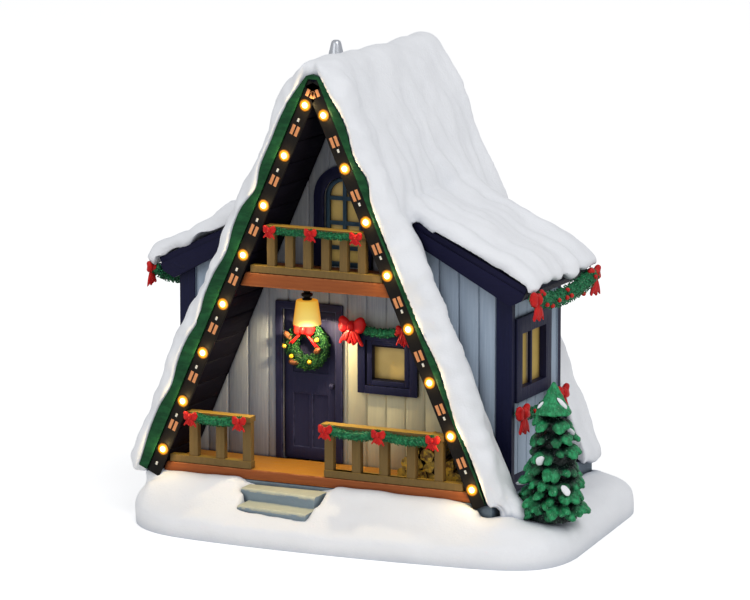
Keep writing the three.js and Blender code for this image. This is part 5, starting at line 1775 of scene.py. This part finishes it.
class PaintSettings(bpy.types.PropertyGroup):
    """The colours of the main paints."""
    snow: paint_colour("Snow", 240, 241, 244)
    wall: paint_colour("Wall boards", 160, 176, 194)
    timber: paint_colour("Dark boards", 24, 26, 54)
    railing: paint_colour("Railings", 112, 90, 52)
    greenery: paint_colour("Greenery", 22, 92, 58)
    ribbon: paint_colour("Ribbons", 186, 20, 24)
    fir: paint_colour("Fir tree", 20, 112, 66)


class StageSettings(bpy.types.PropertyGroup):
    """The studio and the small lamps."""
    sky: FloatProperty(name="Sky", description="Strength of the light from all round", default=0.6, min=0)
    key_watts: FloatProperty(name="Key", description="Power of the main soft light", default=17.0, min=0)
    fill_watts: FloatProperty(name="Fill", description="Power of the side light", default=6.0, min=0)
    strip_watts: FloatProperty(name="Strip lamps", description="Power of each lamp of the strip",
                               default=0.002, min=0, precision=4)
    porch_watts: FloatProperty(name="Porch lamp", description="Power of the lamp over the door",
                               default=0.13, min=0, precision=3)


# ---------------------------------------------------------------- operators

class CHALET_OT_stage(bpy.types.Operator):
    """Sets the camera, the floor and the lights."""
    bl_idname = "chalet.stage"
    bl_label = "Stage"

    def execute(self, context):
        stage(context.scene.chalet_stage)
        return {"FINISHED"}


class CHALET_OT_snow(bpy.types.Operator):
    """Lays the snow on the roofs and round the house."""
    bl_idname = "chalet.snow"
    bl_label = "Snow"

    def execute(self, context):
        roof_snow(context.scene.chalet_snow)
        ground_snow(context.scene.chalet_snow)
        return {"FINISHED"}


class CHALET_OT_walls(bpy.types.Operator):
    """Boards the walls of the house and its wings."""
    bl_idname = "chalet.walls"
    bl_label = "Walls"

    def execute(self, context):
        gable_walls()
        for name, side in SIDES.items():
            wing_walls(name, side)
        return {"FINISHED"}


class CHALET_OT_openings(bpy.types.Operator):
    """Finishes the door and the windows."""
    bl_idname = "chalet.openings"
    bl_label = "Door and windows"

    def execute(self, context):
        openings()
        return {"FINISHED"}


class CHALET_OT_roofs(bpy.types.Operator):
    """Finishes the roof boards and fascias."""
    bl_idname = "chalet.roofs"
    bl_label = "Roofs"

    def execute(self, context):
        roofs()
        return {"FINISHED"}


class CHALET_OT_floors(bpy.types.Operator):
    """Finishes the decks, the foundation and the steps."""
    bl_idname = "chalet.floors"
    bl_label = "Floors and steps"

    def execute(self, context):
        floors()
        return {"FINISHED"}


class CHALET_OT_railings(bpy.types.Operator):
    """Finishes the three railings."""
    bl_idname = "chalet.railings"
    bl_label = "Railings"

    def execute(self, context):
        railings()
        return {"FINISHED"}


class CHALET_OT_garlands(bpy.types.Operator):
    """Hangs the garlands and their bows."""
    bl_idname = "chalet.garlands"
    bl_label = "Garlands"

    def execute(self, context):
        garlands()
        return {"FINISHED"}


class CHALET_OT_wreath(bpy.types.Operator):
    """Hangs the wreath on the door."""
    bl_idname = "chalet.wreath"
    bl_label = "Wreath"

    def execute(self, context):
        wreath()
        return {"FINISHED"}


class CHALET_OT_porch(bpy.types.Operator):
    """Makes the porch lamp, the firewood and the stovepipe."""
    bl_idname = "chalet.porch"
    bl_label = "Lamp, firewood, stovepipe"

    def execute(self, context):
        porch_lamp()
        firewood()
        stovepipe()
        return {"FINISHED"}


class CHALET_OT_lights(bpy.types.Operator):
    """Makes the gable trim and the light strip."""
    bl_idname = "chalet.lights"
    bl_label = "Gable trim and lights"

    def execute(self, context):
        gable_trim()
        light_strip()
        return {"FINISHED"}


class CHALET_OT_tree(bpy.types.Operator):
    """Plants the fir tree."""
    bl_idname = "chalet.tree"
    bl_label = "Fir tree"

    def execute(self, context):
        fir_tree()
        return {"FINISHED"}


class CHALET_PT_panel(bpy.types.Panel):
    """Lists the pieces of the chalet."""
    bl_label = "Chalet"
    bl_idname = "CHALET_PT_panel"
    bl_space_type = "VIEW_3D"
    bl_region_type = "UI"
    bl_category = "Chalet"

    def draw(self, context):
        scene = context.scene
        for settings in (scene.chalet_snow, scene.chalet_paint, scene.chalet_stage):
            for name in settings.bl_rna.properties.keys():
                if name not in {"rna_type", "name"}:
                    self.layout.prop(settings, name)
        for operator in OPERATORS:
            self.layout.operator(operator.bl_idname)


OPERATORS = (CHALET_OT_stage, CHALET_OT_snow, CHALET_OT_walls, CHALET_OT_openings, CHALET_OT_roofs,
             CHALET_OT_floors, CHALET_OT_railings, CHALET_OT_garlands, CHALET_OT_wreath, CHALET_OT_porch,
             CHALET_OT_lights, CHALET_OT_tree)
CLASSES = (SnowSettings, PaintSettings, StageSettings, *OPERATORS, CHALET_PT_panel)


def register():
    for item in CLASSES:
        bpy.utils.register_class(item)
    bpy.types.Scene.chalet_snow = PointerProperty(type=SnowSettings)
    bpy.types.Scene.chalet_paint = PointerProperty(type=PaintSettings)
    bpy.types.Scene.chalet_stage = PointerProperty(type=StageSettings)


def unregister():
    del bpy.types.Scene.chalet_snow
    del bpy.types.Scene.chalet_paint
    del bpy.types.Scene.chalet_stage
    for item in reversed(CLASSES):
        bpy.utils.unregister_class(item)


def main():
    register()
    for operator in OPERATORS:
        group, name = operator.bl_idname.split(".")
        getattr(getattr(bpy.ops, group), name)()
    deselect()


if __name__ == "__main__":
    main()
